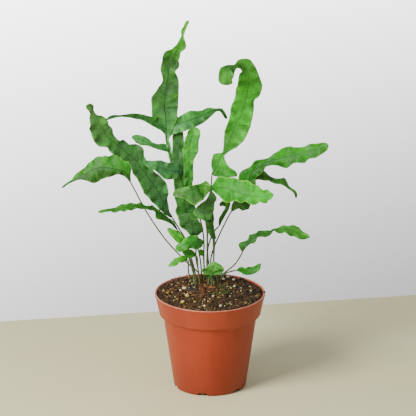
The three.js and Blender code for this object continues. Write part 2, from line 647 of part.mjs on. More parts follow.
        rib: [
          [2, 211.7, 28], [4, 215.5, 27.5], [7, 222, 26.4], [10.3, 230, 25.3], [12.6, 233.4, 24.5],
          [16, 240, 24], [19, 248, 23.4], [22, 256, 22.8], [25, 264, 22.1], [29, 271, 21.3],
          [31, 278, 20.7], [33.5, 286, 20], [35, 294, 19.2], [36.5, 301, 18.2], [37, 308, 17],
          [36, 314, 15.2], [33.5, 319, 12.5], [29.5, 322.3, 9.5], [24, 321, 5.5], [19, 319, 2],
          [16.5, 315, 0], [16, 309, -1], [17, 301.6, 0],
        ],
        left: [
          [0.8, 211.8], [1.5, 213.3], [3, 215], [2.2, 217.5], [1.2, 221], [1.5, 225], [2.5, 230],
          [4, 233.2], [8, 233], [11.8, 234], [12.5, 235.5], [13, 240], [13.5, 248], [13.8, 255],
          [15.5, 261.5], [17.5, 265], [19, 271], [19.5, 278], [20.7, 282], [22.5, 285.5], [24, 290],
          [24.5, 297], [26, 302], [27, 308], [28, 313], [30.3, 317], [29, 318.5], [26, 319.2],
          [24.5, 318.5], [24, 315], [22.5, 311.5], [20.7, 307.5], [21.3, 301.6],
        ],
        right: [
          [2.2, 210.5], [14, 209], [26, 209], [25.5, 212], [24.5, 215], [23, 216.5], [20.5, 218],
          [18.5, 219.5], [16, 223], [14.5, 226.5], [13.4, 230.3], [13.4, 232], [17, 234], [21, 236.5],
          [25.5, 239.5], [28, 243], [31, 246], [34, 251], [36.5, 256], [38.5, 261.5], [39.5, 268],
          [41, 275], [41.5, 281], [41, 284.5], [42.5, 287.5], [45.5, 289.5], [47.5, 293], [49, 298],
          [49.3, 301.5], [47.5, 307.5], [45.5, 313.5], [43, 320], [40.5, 324], [38, 327.5], [35, 328.7],
          [31.5, 327], [28, 327], [25.5, 324], [23, 322], [18, 321.8], [14.5, 321.8], [13, 320],
          [9.8, 319.7], [8.7, 316], [8.3, 311], [7.8, 307], [9, 303.8], [11, 302], [14, 301.2],
        ],
      },
    ],
  },
  {
    name: "frond_bright_front",
    colour: LIME,
    foot: [4, 23],
    stipe: [[2.4, 24, 99], [-1.4, 23.5, 115], [-2.4, 22, 138], [-0.9, 19.5, 164]],
    blades: [
      {
        wave: 0.9, pitch: 10.5, roll: -18, cup: 0.1, step: 3.4,
        rib: [
          [1.5, 197.8, 12], [6, 198.6, 10.2], [10, 199, 8], [16, 198.4, 4.6], [20, 196.5, 2.4],
          [25, 195, -0.5], [30, 193, -3.4], [35, 191.3, -6.2], [40, 190.3, -8.6], [47, 190, -11.6],
          [55, 190.5, -14.5], [60.3, 191.3, -16],
        ],
        left: [
          [2.5, 201.5], [4.8, 205], [6, 208.5], [8.5, 210.5], [10.5, 210.3], [13, 209], [16, 208.5],
          [20, 208.7], [24, 208.6], [28.5, 206], [31, 206], [35.5, 206.3], [37.5, 204.5], [40, 202.7],
          [42, 201.3], [45, 200.5], [47.5, 199], [49.5, 197], [50.5, 195.5], [52, 196], [53, 197.3],
          [54.5, 197], [55.5, 195.3], [57.5, 194.5], [59, 193],
        ],
        right: [
          [3, 195.3], [4.5, 193.5], [6.5, 191.5], [9, 190], [11, 188], [12, 186], [14, 184], [16.5, 183],
          [18.5, 183.6], [20.5, 185], [23, 185.2], [26, 185.5], [27, 184.5], [28.5, 183], [30.5, 183],
          [31.5, 184.7], [33.5, 185.2], [35, 185], [36, 183.5], [38, 182], [41, 181.3], [43.5, 182],
          [45.5, 183.3], [47, 184.7], [48, 184.5], [49.5, 183.3], [52, 183], [54.5, 183.5], [55, 185],
          [55.5, 186.5], [57.5, 186.6], [58.8, 187.5], [59.3, 189.5],
        ],
      },
      {
        wave: 0.5, pitch: 15, roll: 15, cup: 0.1, step: 3.6,
        rib: [
          [1.9, 197.4, 12], [-2, 199.8, 9], [-5.5, 200.8, 6.5], [-8.5, 200.3, 4], [-11, 199.8, 2],
          [-13.5, 198.4, -0.5], [-18.5, 195.9, -2.5], [-23, 194.6, -3], [-28.9, 193.4, -3],
          [-35.6, 191, -2],
        ],
        left: [
          [0.5, 197], [-1, 195.2], [-2.5, 191.5], [-5, 188], [-8, 185.8], [-11, 184], [-13, 182], [-14.5, 179.5], [-16.5, 181.5], [-19, 184], [-23, 187],
          [-27, 189], [-31, 189], [-33.5, 189.7],
        ],
        right: [
          [0.5, 201], [-1.5, 203.5], [-4, 206], [-5.5, 205.3], [-8, 203.3], [-11, 202], [-15, 201.3],
          [-17, 200.8], [-21, 199.5], [-26, 198.3], [-30, 197], [-33, 196], [-34.5, 194.5],
        ],
      },
    ],
  },
  {
    name: "frond_long_right",
    colour: FRESH_GREEN,
    foot: [0.5, 29],
    stipe: [[1, 29, 117], [3.8, 28, 128], [12, 26, 148.5], [20.9, 24, 167], [28.4, 22, 178.3]],
    blades: [
      {
        wave: 1.2, pitch: 21, roll: -22, cup: 0.12,
        rib: [
          [35.5, 198.3, 20], [36.5, 206, 20], [39, 212, 20], [44, 217.5, 20], [51, 223, 20],
          [60, 226.3, 19.5], [70, 229, 17.8], [80, 231.5, 14.4], [90, 234.5, 10.7], [100, 237.5, 6.4],
          [112.4, 241, 1.5],
        ],
        left: [
          [30, 202], [27.8, 206.5], [27.5, 210], [28, 213], [29.5, 215.2], [32, 216.8], [35.5, 218.3],
          [38.5, 220], [40, 221.8], [41.5, 224.3], [43, 226.2], [46, 226.6], [50, 227.2], [54, 228],
          [56.5, 229.5], [60, 232.8], [63, 234.3], [65.5, 236], [68, 238], [71, 239.3], [74, 240],
          [78, 240], [82, 239.3], [87, 239.3], [90, 240.2], [92.5, 242], [96, 242.8], [100, 243],
          [104, 243.3], [107, 244], [110, 243.7], [111.5, 242.5],
        ],
        right: [
          [41, 198.5], [43, 201], [43.3, 208], [44.5, 210.3], [47.5, 212], [50, 214.3], [51.2, 216.5],
          [51.3, 219], [53.5, 220.5], [57, 221.3], [61, 221.6], [65, 221], [68, 219.5], [71, 218.4],
          [74, 219], [76.5, 221], [79, 223.3], [82, 224.1], [86, 223.7], [88.8, 223.5], [90.5, 225],
          [92, 227], [95, 228.4], [99, 228.7], [102, 229.5], [104, 231.3], [106.5, 233.7], [109, 235.5],
          [111.5, 238],
        ],
      },
      {
        wave: 0.5, pitch: 13, roll: -30,
        rib: [
          [37, 204.5, 20.5], [43, 209.5, 23], [50, 210.3, 26], [56, 208.3, 27.6], [62, 205.4, 28.8],
          [68, 205, 29.9], [72, 202.5, 30.5], [75, 199.2, 30.8], [79, 196.3, 31.1], [81.3, 193, 31.3],
          [82, 188, 31.5],
        ],
        left: [
          [38, 209.5], [44, 214], [51.5, 216], [54, 213], [57, 210.3], [60, 208.7], [63, 207.7],
          [67, 207.7], [69.5, 208.8], [71.3, 208.8], [72.3, 206], [73.5, 203], [74.5, 200.8], [76, 199.2],
          [78.5, 197.4], [80.5, 196.2], [82.2, 194], [82.9, 191],
        ],
        right: [
          [40, 204.5], [43.5, 207], [48, 207], [50.5, 206.3], [52.5, 205.9], [55.5, 206.2], [58, 204.8],
          [60, 203.6], [62.5, 202.7], [66, 202.7], [69, 201.5], [72, 199.9], [75, 197.3], [78, 195.2],
          [79.6, 193.4], [80.6, 191], [81.2, 188],
        ],
      },
      {
        wave: 0.6, pitch: 11, roll: -25, cup: -0.1,
        rows: [
          [20.5, 24.2, 166.5, 1, 1], [25.5, 20.5, 173.4, 5, 3.6], [30.5, 18, 175, 6, 5], [34, 16.5, 174.3, 6, 5.4],
          [37, 15.3, 171.8, 1, 1],
        ],
      },
    ],
  },
  {
    name: "frond_narrow_centre_right",
    colour: DEEP_GREEN,
    foot: [-2.2, 30.5],
    stipe: [[-2.9, 28.5, 118], [-0.6, 25.5, 134], [4.3, 24, 146.3]],
    blades: [
      {
        wave: 0.6, pitch: 9, step: 3, roll: 15,
        rows: [
          [9, 22, 152.6, 0.9, 0.9], [10.9, 21, 160.5, 2.4, 2.4], [15.2, 19.5, 168, 2.6, 2],
          [17.1, 18, 175.2, 2.5, 2.5], [15.6, 17, 182, 1, 1],
        ],
      },
      {
        wave: 0.3, pitch: 9, step: 3, roll: 15,
        rows: [[16.2, 18.7, 173, 1, 1], [12.3, 16.5, 176.8, 2.4, 2.4], [9, 15.5, 174.6, 0.9, 0.9]],
      },
    ],
  },
  {
    name: "frond_arching_right",
    colour: DEEP_GREEN,
    foot: [7, 41.5],
    stipe: [[13, 41.3, 96.8], [23, 39.5, 106], [28, 37.5, 114]],
    blades: [
      {
        wave: 1.1, pitch: 14, roll: -36, cup: 0.1,
        rib: [
          [31, 133.9, 36.5], [32.5, 139.5, 37], [36, 143.3, 38], [40, 146.8, 39], [44.5, 150.8, 40.3],
          [50, 152, 42], [56, 152.8, 43.5], [60.5, 156.4, 45], [66, 155.8, 46.3], [72, 157, 47.6],
          [78, 155.3, 49.3], [84, 152.5, 50.9], [90, 149.7, 52.2], [95.2, 148.6, 53],
        ],
        left: [
          [30.5, 134.3], [29, 137.3], [27.3, 141], [28, 143], [31, 144], [34.5, 145], [36.3, 146.5],
          [37.2, 149.5], [37.8, 151.2], [40, 151], [42.5, 152.3], [45.3, 153.7], [46.3, 156], [48, 155.7],
          [52, 155], [56, 155.3], [58.5, 155.3], [60.5, 157.4], [63, 157.2], [66, 158.5], [69, 160.3],
          [71.3, 161.3], [73, 160], [75.5, 159.7], [78, 160.7], [80, 160.7], [81.5, 159.2], [83, 158.5],
          [85.5, 158.7], [87, 156], [88.5, 153.7], [91, 152.5], [93.5, 150.8],
        ],
        right: [
          [31.7, 134], [33, 136.5], [35, 139.5], [37.5, 141.3], [40.5, 142.5], [42.5, 142.5],
          [43.7, 144.5], [43.9, 147], [44.8, 148.7], [47, 149.2], [50, 148.4], [53, 148.8], [55.5, 150],
          [57.5, 151.6], [59.2, 153.8], [60.3, 155.4], [61.5, 155], [63, 153.6], [65.5, 152.7],
          [68, 152.7], [70, 154], [71.5, 154], [73, 152], [75, 150], [77.5, 149.5], [80, 150], [82, 149],
          [84, 147], [86.5, 146.2], [90, 146.3], [92.5, 147.3],
        ],
      },
    ],
  },
  {
    name: "frond_low_right",
    colour: FRESH_GREEN,
    foot: [9.5, 36],
    stipe: [[13.5, 37, 97.5], [19.5, 37.8, 100]],
    blades: [
      {
        wave: 0.7, pitch: 10, step: 3, roll: -26, cup: 0.15,
        rib: [
          [25.5, 115, 38], [30, 114.9, 37.6], [35, 113.9, 36.7], [40, 115, 35.5], [44, 118, 34.6],
          [48.4, 121.9, 33.5],
        ],
        left: [
          [27.5, 117.5], [29, 118.7], [31.5, 118.2], [33, 116.8], [34.5, 117], [36.5, 118.3], [40, 118.7],
          [42.5, 118.9], [44.5, 120.5], [46.5, 121.8],
        ],
        right: [
          [27.5, 113.8], [30, 112.8], [31, 111.5], [33.5, 110.5], [37.5, 110.5], [41, 111.5], [44, 112.8],
          [46.5, 114.5], [47.5, 117], [48.3, 120],
        ],
      },
    ],
  },
  {
    name: "frond_small_front",
    colour: FRESH_GREEN,
    foot: [0.5, 18.5],
    stipe: [[1.6, 17.5, 96]],
    blades: [
      {
        wave: 0.5, pitch: 12, step: 3, cup: 0.1,
        rib: [
          [2.2, 107, 15], [1.9, 110.7, 12], [2.2, 114.7, 9], [2.8, 118.2, 7], [4.3, 121.5, 5.5],
          [5.2, 124, 4.5],
        ],
        left: [
          [-1, 107.3], [-4, 109], [-7, 112.5], [-9, 115.5], [-7.5, 117.3], [-4.5, 117.8], [-2, 119],
          [-0.5, 121.5], [2, 123],
        ],
        right: [
          [4, 109.5], [5.5, 111.3], [8.5, 110.5], [10.5, 112], [12.5, 114], [14, 116.8], [12, 119.5],
          [9, 122], [6.3, 124],
        ],
      },
    ],
  },
  {
    name: "frond_small_low_left",
    colour: LIME,
    foot: [-17.5, 29],
    stipe: [[-20.4, 25, 104]],
    blades: [
      {
        wave: 0.6, pitch: 9, step: 3, roll: 30,
        rib: [[-21.5, 126, 20], [-26, 126.6, 18], [-31, 125, 16], [-35, 122.2, 14.6], [-39.6, 118.9, 13.5]],
        left: [
          [-22, 124], [-24.5, 124.3], [-26.5, 123], [-29.5, 123], [-31, 121.5], [-33, 119.5], [-36, 119],
        ],
        right: [
          [-21.3, 127.8], [-23.5, 130], [-25.5, 130], [-28.5, 129], [-31, 128], [-33.5, 127.5],
          [-34.5, 124.8], [-37, 124], [-38.5, 121.5],
        ],
      },
    ],
  },
  {
    name: "frond_small_light",
    colour: LIME,
    foot: [-13.5, 19],
    stipe: [[-15.6, 18, 104], [-19.4, 15.5, 120]],
    blades: [
      {
        wave: 0.5, pitch: 12, step: 3, roll: 10, cup: 0.15,
        rib: [
          [-24.6, 142.9, 12], [-28.4, 147.3, 10.5], [-33.7, 151.9, 9], [-37.9, 155.6, 8],
          [-40.7, 157.7, 7.5],
        ],
        left: [
          [-25.5, 141.5], [-30, 142.5], [-31.5, 144], [-33, 145.8], [-35.5, 148.5], [-38, 151.5],
          [-40, 154.5],
        ],
        right: [[-23.8, 145], [-25, 148.5], [-26.5, 150.5], [-29.5, 153.5], [-33, 156], [-37.5, 158]],
      },
    ],
  },
  {
    name: "frond_small_folded",
    colour: LIME,
    foot: [-5.8, 27],
    stipe: [[-5.7, 21, 110], [-6.2, 16, 124]],
    blades: [
      {
        wave: 0.8, pitch: 13, step: 3, roll: 25, cup: -0.15,
        rib: [
          [-6.3, 143.5, 12], [-10.9, 143.3, 9], [-18, 143.5, 6], [-24.6, 141, 4], [-29.4, 138, 3],
          [-33.1, 137, 2.5],
        ],
        left: [
          [-7, 142], [-8, 140], [-10, 137.5], [-13, 136], [-16, 137], [-19, 138], [-22, 136], [-26, 134.5],
          [-29.5, 133.8], [-31.5, 134.5],
        ],
        right: [
          [-6, 145], [-8, 147], [-10.5, 147.5], [-11, 150], [-13.5, 150.5], [-19.5, 150.3], [-22, 148],
          [-24.5, 147], [-27, 144.5], [-30, 141.5], [-32.5, 140.5],
        ],
      },
      {
        wave: 0.4, pitch: 8, step: 3,
        rows: [[-6.2, 16, 124, 0.9, 0.9], [-8.1, 14.5, 128, 3.2, 3], [-9.5, 13.5, 131.5, 0.9, 0.9]],
      },
    ],
  },
  {
    name: "frond_small_dark",
    colour: DEEP_GREEN,
    foot: [-9.5, 22],
    stipe: [[-11.3, 18.5, 109]],
    blades: [
      {
        wave: 0.4, pitch: 10, step: 3, roll: 20,
        rows: [
          [-13.3, 15, 125, 1, 1], [-18, 12.5, 127, 4, 4], [-22.3, 11, 129, 3.5, 3], [-26.5, 10, 131, 0.9, 0.9],
        ],
      },
    ],
  },
  {
    name: "frond_dark_centre",
    colour: DEEP_GREEN,
    foot: [-2, 22],
    stipe: [[-1.2, 21, 99], [-2.5, 19, 113], [-2.7, 15, 130.5], [-2.9, 11, 150]],
    blades: [
      {
        wave: 0.7, pitch: 14, step: 3.4, cup: -0.1,
        rib: [
          [-4.3, 164.9, 9], [-5.6, 171.2, 8], [-5, 178.2, 7.6], [-2, 185.8, 7.4], [0.8, 191.3, 7.4],
          [1.2, 196, 7.4],
        ],
        left: [
          [-5.5, 165.2], [-7, 166.5], [-10, 167.5], [-12.5, 169.5], [-16.5, 172], [-14.5, 176], [-12, 180], [-9.5, 183], [-6.5, 184.6], [-3.6, 186.2], [-1.8, 189], [-0.8, 192.5],
        ],
        right: [
          [3.5, 166], [1.8, 168], [1.7, 170], [2.5, 172.5], [3.7, 177], [3.8, 181], [4.5, 184], [6.3, 187],
          [6.5, 189.5], [4, 192.5],
        ],
      },
    ],
  },
  {
    name: "frond_blue_centre",
    colour: BLUE_GREEN,
    foot: [-10, 31.5],
    stipe: [[-10.6, 27, 102], [-13.3, 22, 119]],
    blades: [
      {
        wave: 0.6, pitch: 15, step: 3.4, cup: 0.06,
        rib: [
          [-13.3, 149.5, 15], [-15.2, 154.5, 13.5], [-17, 160.6, 12], [-19.5, 166.6, 11],
          [-21.3, 170.8, 10.5], [-22, 173, 10],
        ],
        left: [
          [-15, 149.8], [-19, 151], [-20.5, 153.5], [-24, 156], [-27, 158], [-29.5, 161], [-29, 164],
          [-31, 170], [-30.5, 172.8],
        ],
        right: [
          [-12, 150.3], [-9, 152], [-6.5, 153.7], [-6, 155.5], [-7.5, 159], [-9.5, 163], [-11, 166],
          [-12, 169], [-14, 172.5],
        ],
      },
    ],
  },
  {
    name: "frond_upright_centre",
    colour: DEEP_GREEN,
    foot: [8, 25.5],
    stipe: [[5.5, 22, 104], [3.6, 19.5, 118]],
    blades: [
      {
        wave: 0.7, pitch: 11, step: 3.4, roll: 10,
        rows: [
          [4.3, 17, 140.3, 1.8, 1.8], [2.4, 16.5, 148, 4, 2.2], [0.5, 16, 156.3, 4.5, 3],
          [-0.9, 15, 165.7, 4, 4.5], [-2.8, 14, 175, 1, 1],
        ],
      },
    ],
  },
];

const plant = new THREE.Group();
const feet = FRONDS.map(footHole);
const rhizome = feet.reduce((left, hole) => left.subtract(hole), rhizomeSolid(0));
plant.add(meshOf("pot", potSolid(), TERRACOTTA, 0.45));
plant.add(meshOf("soil", soilSolid(feet), PEAT, 0.95));
plant.add(meshOf("rhizome", rhizome, SCALES, 0.85));
for (const frond of FRONDS) plant.add(meshOf(frond.name, frondSolid(frond), frond.colour, 0.55));

export default plant;
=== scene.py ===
"""Looks of a young strap-leaved fern in a nursery pot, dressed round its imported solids.

Sizes are millimetres in the frame of the solids: the origin is the middle of the pot's flat base, +Z is up and
the plant's front looks along -Y. Meshes are written in metres.
"""

import logging
import math
from collections.abc import Callable
from dataclasses import dataclass, field
from enum import Enum
from functools import cache

import bmesh
import bpy
import numpy as np
from mathutils import Matrix, Vector, noise

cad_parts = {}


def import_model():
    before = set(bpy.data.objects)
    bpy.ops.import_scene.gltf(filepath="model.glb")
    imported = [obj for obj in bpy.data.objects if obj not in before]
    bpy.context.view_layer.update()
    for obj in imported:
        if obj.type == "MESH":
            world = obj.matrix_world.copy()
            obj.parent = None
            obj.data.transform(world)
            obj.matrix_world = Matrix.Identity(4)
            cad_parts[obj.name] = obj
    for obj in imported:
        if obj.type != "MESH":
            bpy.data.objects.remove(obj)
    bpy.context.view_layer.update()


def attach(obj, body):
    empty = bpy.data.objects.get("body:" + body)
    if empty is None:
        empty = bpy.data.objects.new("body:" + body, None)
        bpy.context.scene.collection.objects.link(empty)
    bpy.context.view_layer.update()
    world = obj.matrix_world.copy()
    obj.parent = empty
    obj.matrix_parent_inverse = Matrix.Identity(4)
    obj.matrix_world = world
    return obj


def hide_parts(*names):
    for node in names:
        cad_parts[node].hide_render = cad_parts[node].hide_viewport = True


log = logging.getLogger("fern")

MM = 0.001
IMAGE_SIDE = 416  # pixels
PIXELS_PER_MM = 1.055
LOOK_DOWN = math.radians(20)
SEEN = math.tan(LOOK_DOWN)  # seen height is true height plus this share of the depth
ROUND = 2 * math.pi

Spot = tuple[float, float]
Point = tuple[float, float, float]
Row = tuple[float, float, float, float, float]
Colour = tuple[float, float, float, float]
Face = tuple[int, ...]
Shape = tuple[np.ndarray, list[Face]]


def paint(code: str) -> Colour:
    """Turn a colour as seen on a screen, #rrggbb, into a linear one with alpha."""
    parts = [int(code[i : i + 2], 16) / 255 for i in (1, 3, 5)]
    return (*(c / 12.92 if c <= 0.04045 else ((c + 0.055) / 1.055) ** 2.4 for c in parts), 1.0)


def maths(operation: str, reflected: bool = False) -> Callable[..., "Wire"]:
    """Make a method of a wire that adds one Math node.

    Args:
        operation: Blender's name of the operation.
        reflected: whether the wire comes after the other value.

    Returns:
        The method, which takes the other value where the operation has two.
    """

    def method(self: "Wire", *others: "Wire | float") -> "Wire":
        """Add the node."""
        values = (*others, self) if reflected else (self, *others)
        return self.tree.node("ShaderNodeMath", {"operation": operation}, dict(enumerate(values)))

    return method


@dataclass
class Wire:
    """A number, vector or colour that flows through a material's nodes."""

    tree: "Tree"
    socket: bpy.types.NodeSocket

    __add__ = __radd__ = maths("ADD")
    __mul__ = __rmul__ = maths("MULTIPLY")
    __sub__, __rsub__ = maths("SUBTRACT"), maths("SUBTRACT", reflected=True)
    __pow__, __rpow__ = maths("POWER"), maths("POWER", reflected=True)
    __abs__, sine = maths("ABSOLUTE"), maths("SINE")
    least, most = maths("MINIMUM"), maths("MAXIMUM")

    def ease(self, low: float, high: float, start: float = 0.0, end: float = 1.0) -> "Wire":
        """Run smoothly from one value to another while this one goes from low to high.

        Args:
            low: where the change begins.
            high: where it ends; it may be under low.
            start: the value at low and beyond.
            end: the value at high and beyond.

        Returns:
            The eased value.
        """
        if low > high:
            low, high, start, end = high, low, end, start
        sockets = {0: self, 1: low, 2: high, 3: start, 4: end}
        return self.tree.node("ShaderNodeMapRange", {"interpolation_type": "SMOOTHSTEP"}, sockets)

    def parts(self) -> tuple["Wire", "Wire", "Wire"]:
        """The three numbers of a vector."""
        outputs = self.tree.node("ShaderNodeSeparateXYZ", {}, {0: self}).socket.node.outputs
        return tuple(Wire(self.tree, outputs[i]) for i in range(3))


class Tree:
    """The nodes of one material."""

    def __init__(self, name: str) -> None:
        """Start an empty material of a name."""
        self.material = bpy.data.materials.new(name)
        self.material.use_nodes = True
        self.nodes = self.material.node_tree.nodes
        self.links = self.material.node_tree.links
        self.nodes.clear()

    def node(self, kind: str, settings: dict, sockets: dict, output: int | str = 0) -> Wire:
        """Add a node.

        Args:
            kind: Blender's name of the node's type.
            settings: properties, set first.
            sockets: values or wires by the input's name or number.
            output: the output's name or number.

        Returns:
            The wire that leaves the output.
        """
        made = self.nodes.new(kind)
        for key, value in settings.items():
            setattr(made, key, value)
        for key, value in sockets.items():
            if isinstance(value, Wire):
                self.links.new(value.socket, made.inputs[key])
            else:
                made.inputs[key].default_value = value
        return Wire(self, made.outputs[output])

    def mix(self, factor: Wire | float, first: Wire | Colour | str, second: Wire | Colour | str,
            way: str = "MIX") -> Wire:
        """Mix two colours.

        Args:
            factor: 0 for the first, 1 for the second.
            first: a wire, a linear colour or a #rrggbb code.
            second: the same.
            way: Blender's name of the way to blend.

        Returns:
            The mixed colour.
        """
        first, second = (paint(c) if isinstance(c, str) else c for c in (first, second))
        settings = {"data_type": "RGBA", "blend_type": way, "clamp_factor": True}
        return self.node("ShaderNodeMix", settings, {0: factor, 6: first, 7: second}, 2)

    def glaze(self, factor: Wire | float, colour: Wire, tint: str, way: str = "MULTIPLY") -> Wire:
        """Lay a tint over a colour as far as a factor says."""
        return self.mix(factor, colour, self.mix(1.0, colour, tint, way))

    def cover(self, colour: Wire, *coats: tuple[Wire, str]) -> Wire:
        """Cover a colour with flat tints in turn, each as far as its factor says."""
        for factor, tint in coats:
            colour = self.mix(factor, colour, tint)
        return colour

    def grey(self, value: Wire) -> Wire:
        """Turn a number into a grey colour."""
        return self.node("ShaderNodeCombineColor", {}, {0: value, 1: value, 2: value})

    def attribute(self, name: str, output: str) -> Wire:
        """Read a value stored on the mesh."""
        return self.node("ShaderNodeAttribute", {"attribute_name": name}, {}, output)

    def place(self) -> Wire:
        """Read the place on the object, in metres."""
        return self.node("ShaderNodeTexCoord", {}, {}, "Object")

    def scaled(self, vector: Wire, scale: Point) -> Wire:
        """Multiply a vector's parts."""
        return self.node("ShaderNodeVectorMath", {"operation": "MULTIPLY"}, {0: vector, 1: scale})

    def cloud(self, vector: Wire, scale: float, detail: float = 2.0, rough: float = 0.5) -> Wire:
        """Read smooth noise from 0 to 1.

        Args:
            vector: where to read it.
            scale: bumps per unit of the vector.
            detail: how many finer layers.
            rough: how strong they are.

        Returns:
            The noise.
        """
        sockets = {"Vector": vector, "Scale": scale, "Detail": detail, "Roughness": rough}
        return self.node("ShaderNodeTexNoise", {}, sockets)

    def cells(self, vector: Wire, scale: float) -> Wire:
        """Distance from the middles of scattered cells."""
        return self.node("ShaderNodeTexVoronoi", {"feature": "F1"}, {"Vector": vector, "Scale": scale}, "Distance")

    def relief(self, height: Wire, depth: float, below: Wire | None = None) -> Wire:
        """Bend the normal as a height would.

        Args:
            height: from 0 to 1.
            depth: metres that a height of 1 stands for.
            below: a normal that is already bent.

        Returns:
            The bent normal.
        """
        sockets = {"Height": height, "Distance": depth, "Strength": 1.0}
        if below is not None:
            sockets["Normal"] = below
        return self.node("ShaderNodeBump", {}, sockets)

    def surface(self, **sockets: Wire | Colour | float) -> bpy.types.Material:
        """Close the material with one Principled shader.

        Args:
            **sockets: its inputs, with _ for a space.

        Returns:
            The material.
        """
        named = {key.replace("_", " "): value for key, value in sockets.items()}
        shader = self.node("ShaderNodeBsdfPrincipled", {}, named)
        end = self.nodes.new("ShaderNodeOutputMaterial")
        self.links.new(shader.socket, end.inputs["Surface"])
        return self.material

    def clear_behind(self) -> None:
        """Make the closed material see-through from the back of its faces."""
        end = self.material.node_tree.get_output_node("ALL").inputs["Surface"]
        front = Wire(self, end.links[0].from_socket)
        back = self.node("ShaderNodeNewGeometry", {}, {}, "Backfacing")
        clear = self.node("ShaderNodeBsdfTransparent", {}, {})
        self.links.new(self.node("ShaderNodeMixShader", {}, {0: back, 1: front, 2: clear}).socket, end)


class Gather:
    """Points, faces and stored values of one mesh, gathered from many small shapes."""

    def __init__(self) -> None:
        """Start empty."""
        self.points: list[np.ndarray] = []
        self.faces: list[Face] = []
        self.slots: list[int] = []
        self.values: dict[str, list[np.ndarray]] = {}
        self.count = 0

    def add(self, points: np.ndarray, faces: list[Face], slot: int = 0, **values: np.ndarray) -> None:
        """Add a shape.

        Args:
            points: its points in millimetres.
            faces: its faces, numbered from its own first point.
            slot: which of the object's materials it has.
            **values: a row of numbers per point, stored under the argument's name.
        """
        self.points.append(points)
        self.faces.extend(tuple(n + self.count for n in face) for face in faces)
        self.slots.extend([slot] * len(faces))
        for name, rows in values.items():
            self.values.setdefault(name, []).append(rows)
        self.count += len(points)

    def build(self, name: str, materials: list[bpy.types.Material], smooth: bool = True) -> bpy.types.Object:
        """Make the object.

        Args:
            name: the object's name.
            materials: its materials, in the order of the slots.
            smooth: whether its faces are shaded smooth.

        Returns:
            The object, linked to the scene.
        """
        mesh = bpy.data.meshes.new(name)
        mesh.from_pydata((np.vstack(self.points) * MM).tolist(), [], self.faces)
        for material in materials:
            mesh.materials.append(material)
        mesh.polygons.foreach_set("material_index", self.slots)
        mesh.polygons.foreach_set("use_smooth", [smooth] * len(self.faces))
        for key, rows in self.values.items():
            table = np.vstack(rows).astype(np.float32)
            kind, part = ("FLOAT_COLOR", "color") if table.shape[1] == 4 else ("FLOAT_VECTOR", "vector")
            mesh.attributes.new(key, kind, "POINT").data.foreach_set(part, table.ravel())
        mesh.update()
        return put(name, mesh)


def put(name: str, data: bpy.types.ID) -> bpy.types.Object:
    """Make an object of a mesh, a light or a camera and link it to the scene."""
    made = bpy.data.objects.new(name, data)
    bpy.context.scene.collection.objects.link(made)
    return made


def settle(piece: bpy.types.Object, slot: str, *nodes: str) -> bpy.types.Object:
    """Let a piece ride with the part and stand for its nodes.

    Args:
        piece: the piece.
        slot: the record's material slot; not used.
        *nodes: the nodes that it replaces.

    Returns:
        The piece.
    """
    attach(piece, "root")
    if nodes:
        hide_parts(*nodes)
    log.info("%s: %d faces", piece.name, len(piece.data.polygons))
    return piece


def unit(vectors: np.ndarray) -> np.ndarray:
    """Scale each row to length 1."""
    return vectors / np.maximum(np.linalg.norm(vectors, axis=-1, keepdims=True), 1e-9)


def rolled(vector: np.ndarray, axis: np.ndarray, angle: float) -> np.ndarray:
    """Turn a vector round an axis that it stands square to."""
    return vector * math.cos(angle) + np.cross(axis, vector) * math.sin(angle)


def blend(a: float, b: float, c: float, d: float, t: float) -> float:
    """Uniform Catmull-Rom value of one number between b and c."""
    return b + 0.5 * t * (c - a + t * (2 * a - 5 * b + 4 * c - d + t * (3 * (b - c) + d - a)))


def smooth_route(points: list[Point], spacing: float) -> np.ndarray:
    """Lay a centripetal Catmull-Rom curve through points.

    Args:
        points: the points it passes.
        spacing: millimetres between the places returned.

    Returns:
        Places along the curve, its ends among them.
    """
    given = [np.array(p, dtype=float) for p in points]
    ends = [2 * given[0] - given[1], *given, 2 * given[-1] - given[-2]]
    found = []
    for a, b, c, d in zip(ends, ends[1:], ends[2:], ends[3:]):
        gaps = [max(1e-4, math.sqrt(np.linalg.norm(q - p))) for p, q in ((a, b), (b, c), (c, d))]
        leave = ((b - a) / gaps[0] - (c - a) / (gaps[0] + gaps[1]) + (c - b) / gaps[1]) * gaps[1]
        arrive = ((c - b) / gaps[1] - (d - b) / (gaps[1] + gaps[2]) + (d - c) / gaps[2]) * gaps[1]
        count = max(1, round(float(np.linalg.norm(c - b)) / spacing))
        for k in range(count):
            t = k / count
            square, cube = t * t, t * t * t
            place = b * (2 * cube - 3 * square + 1) + leave * (cube - 2 * square + t)
            found.append(place + c * (3 * square - 2 * cube) + arrive * (cube - square))
    found.append(given[-1])
    return np.array(found)


def tube(route: np.ndarray, radii: np.ndarray, sides: int) -> Shape:
    """Wrap a round bar of changing thickness round a route.

    Args:
        route: the places of its middle.
        radii: its radius at each place.
        sides: corners round it.

    Returns:
        Points and faces of the closed bar.
    """
    forward = unit(np.gradient(route, axis=0))
    aslant = np.array([0.13, -1.0, 0.21])  # no route runs this way
    side = unit(np.cross(forward, aslant))
    across = np.cross(side, forward)
    angles = np.arange(sides) * ROUND / sides
    ring = side[:, None] * np.cos(angles)[None, :, None] + across[:, None] * np.sin(angles)[None, :, None]
    points = (route[:, None] + ring * radii[:, None, None]).reshape(-1, 3)
    faces: list[Face] = []
    for i in range(len(route) - 1):
        for k in range(sides):
            n = (k + 1) % sides
            faces.append((i * sides + k, (i + 1) * sides + k, (i + 1) * sides + n, i * sides + n))
    last = (len(route) - 1) * sides
    return points, [*faces, tuple(range(sides)), tuple(last + k for k in reversed(range(sides)))]


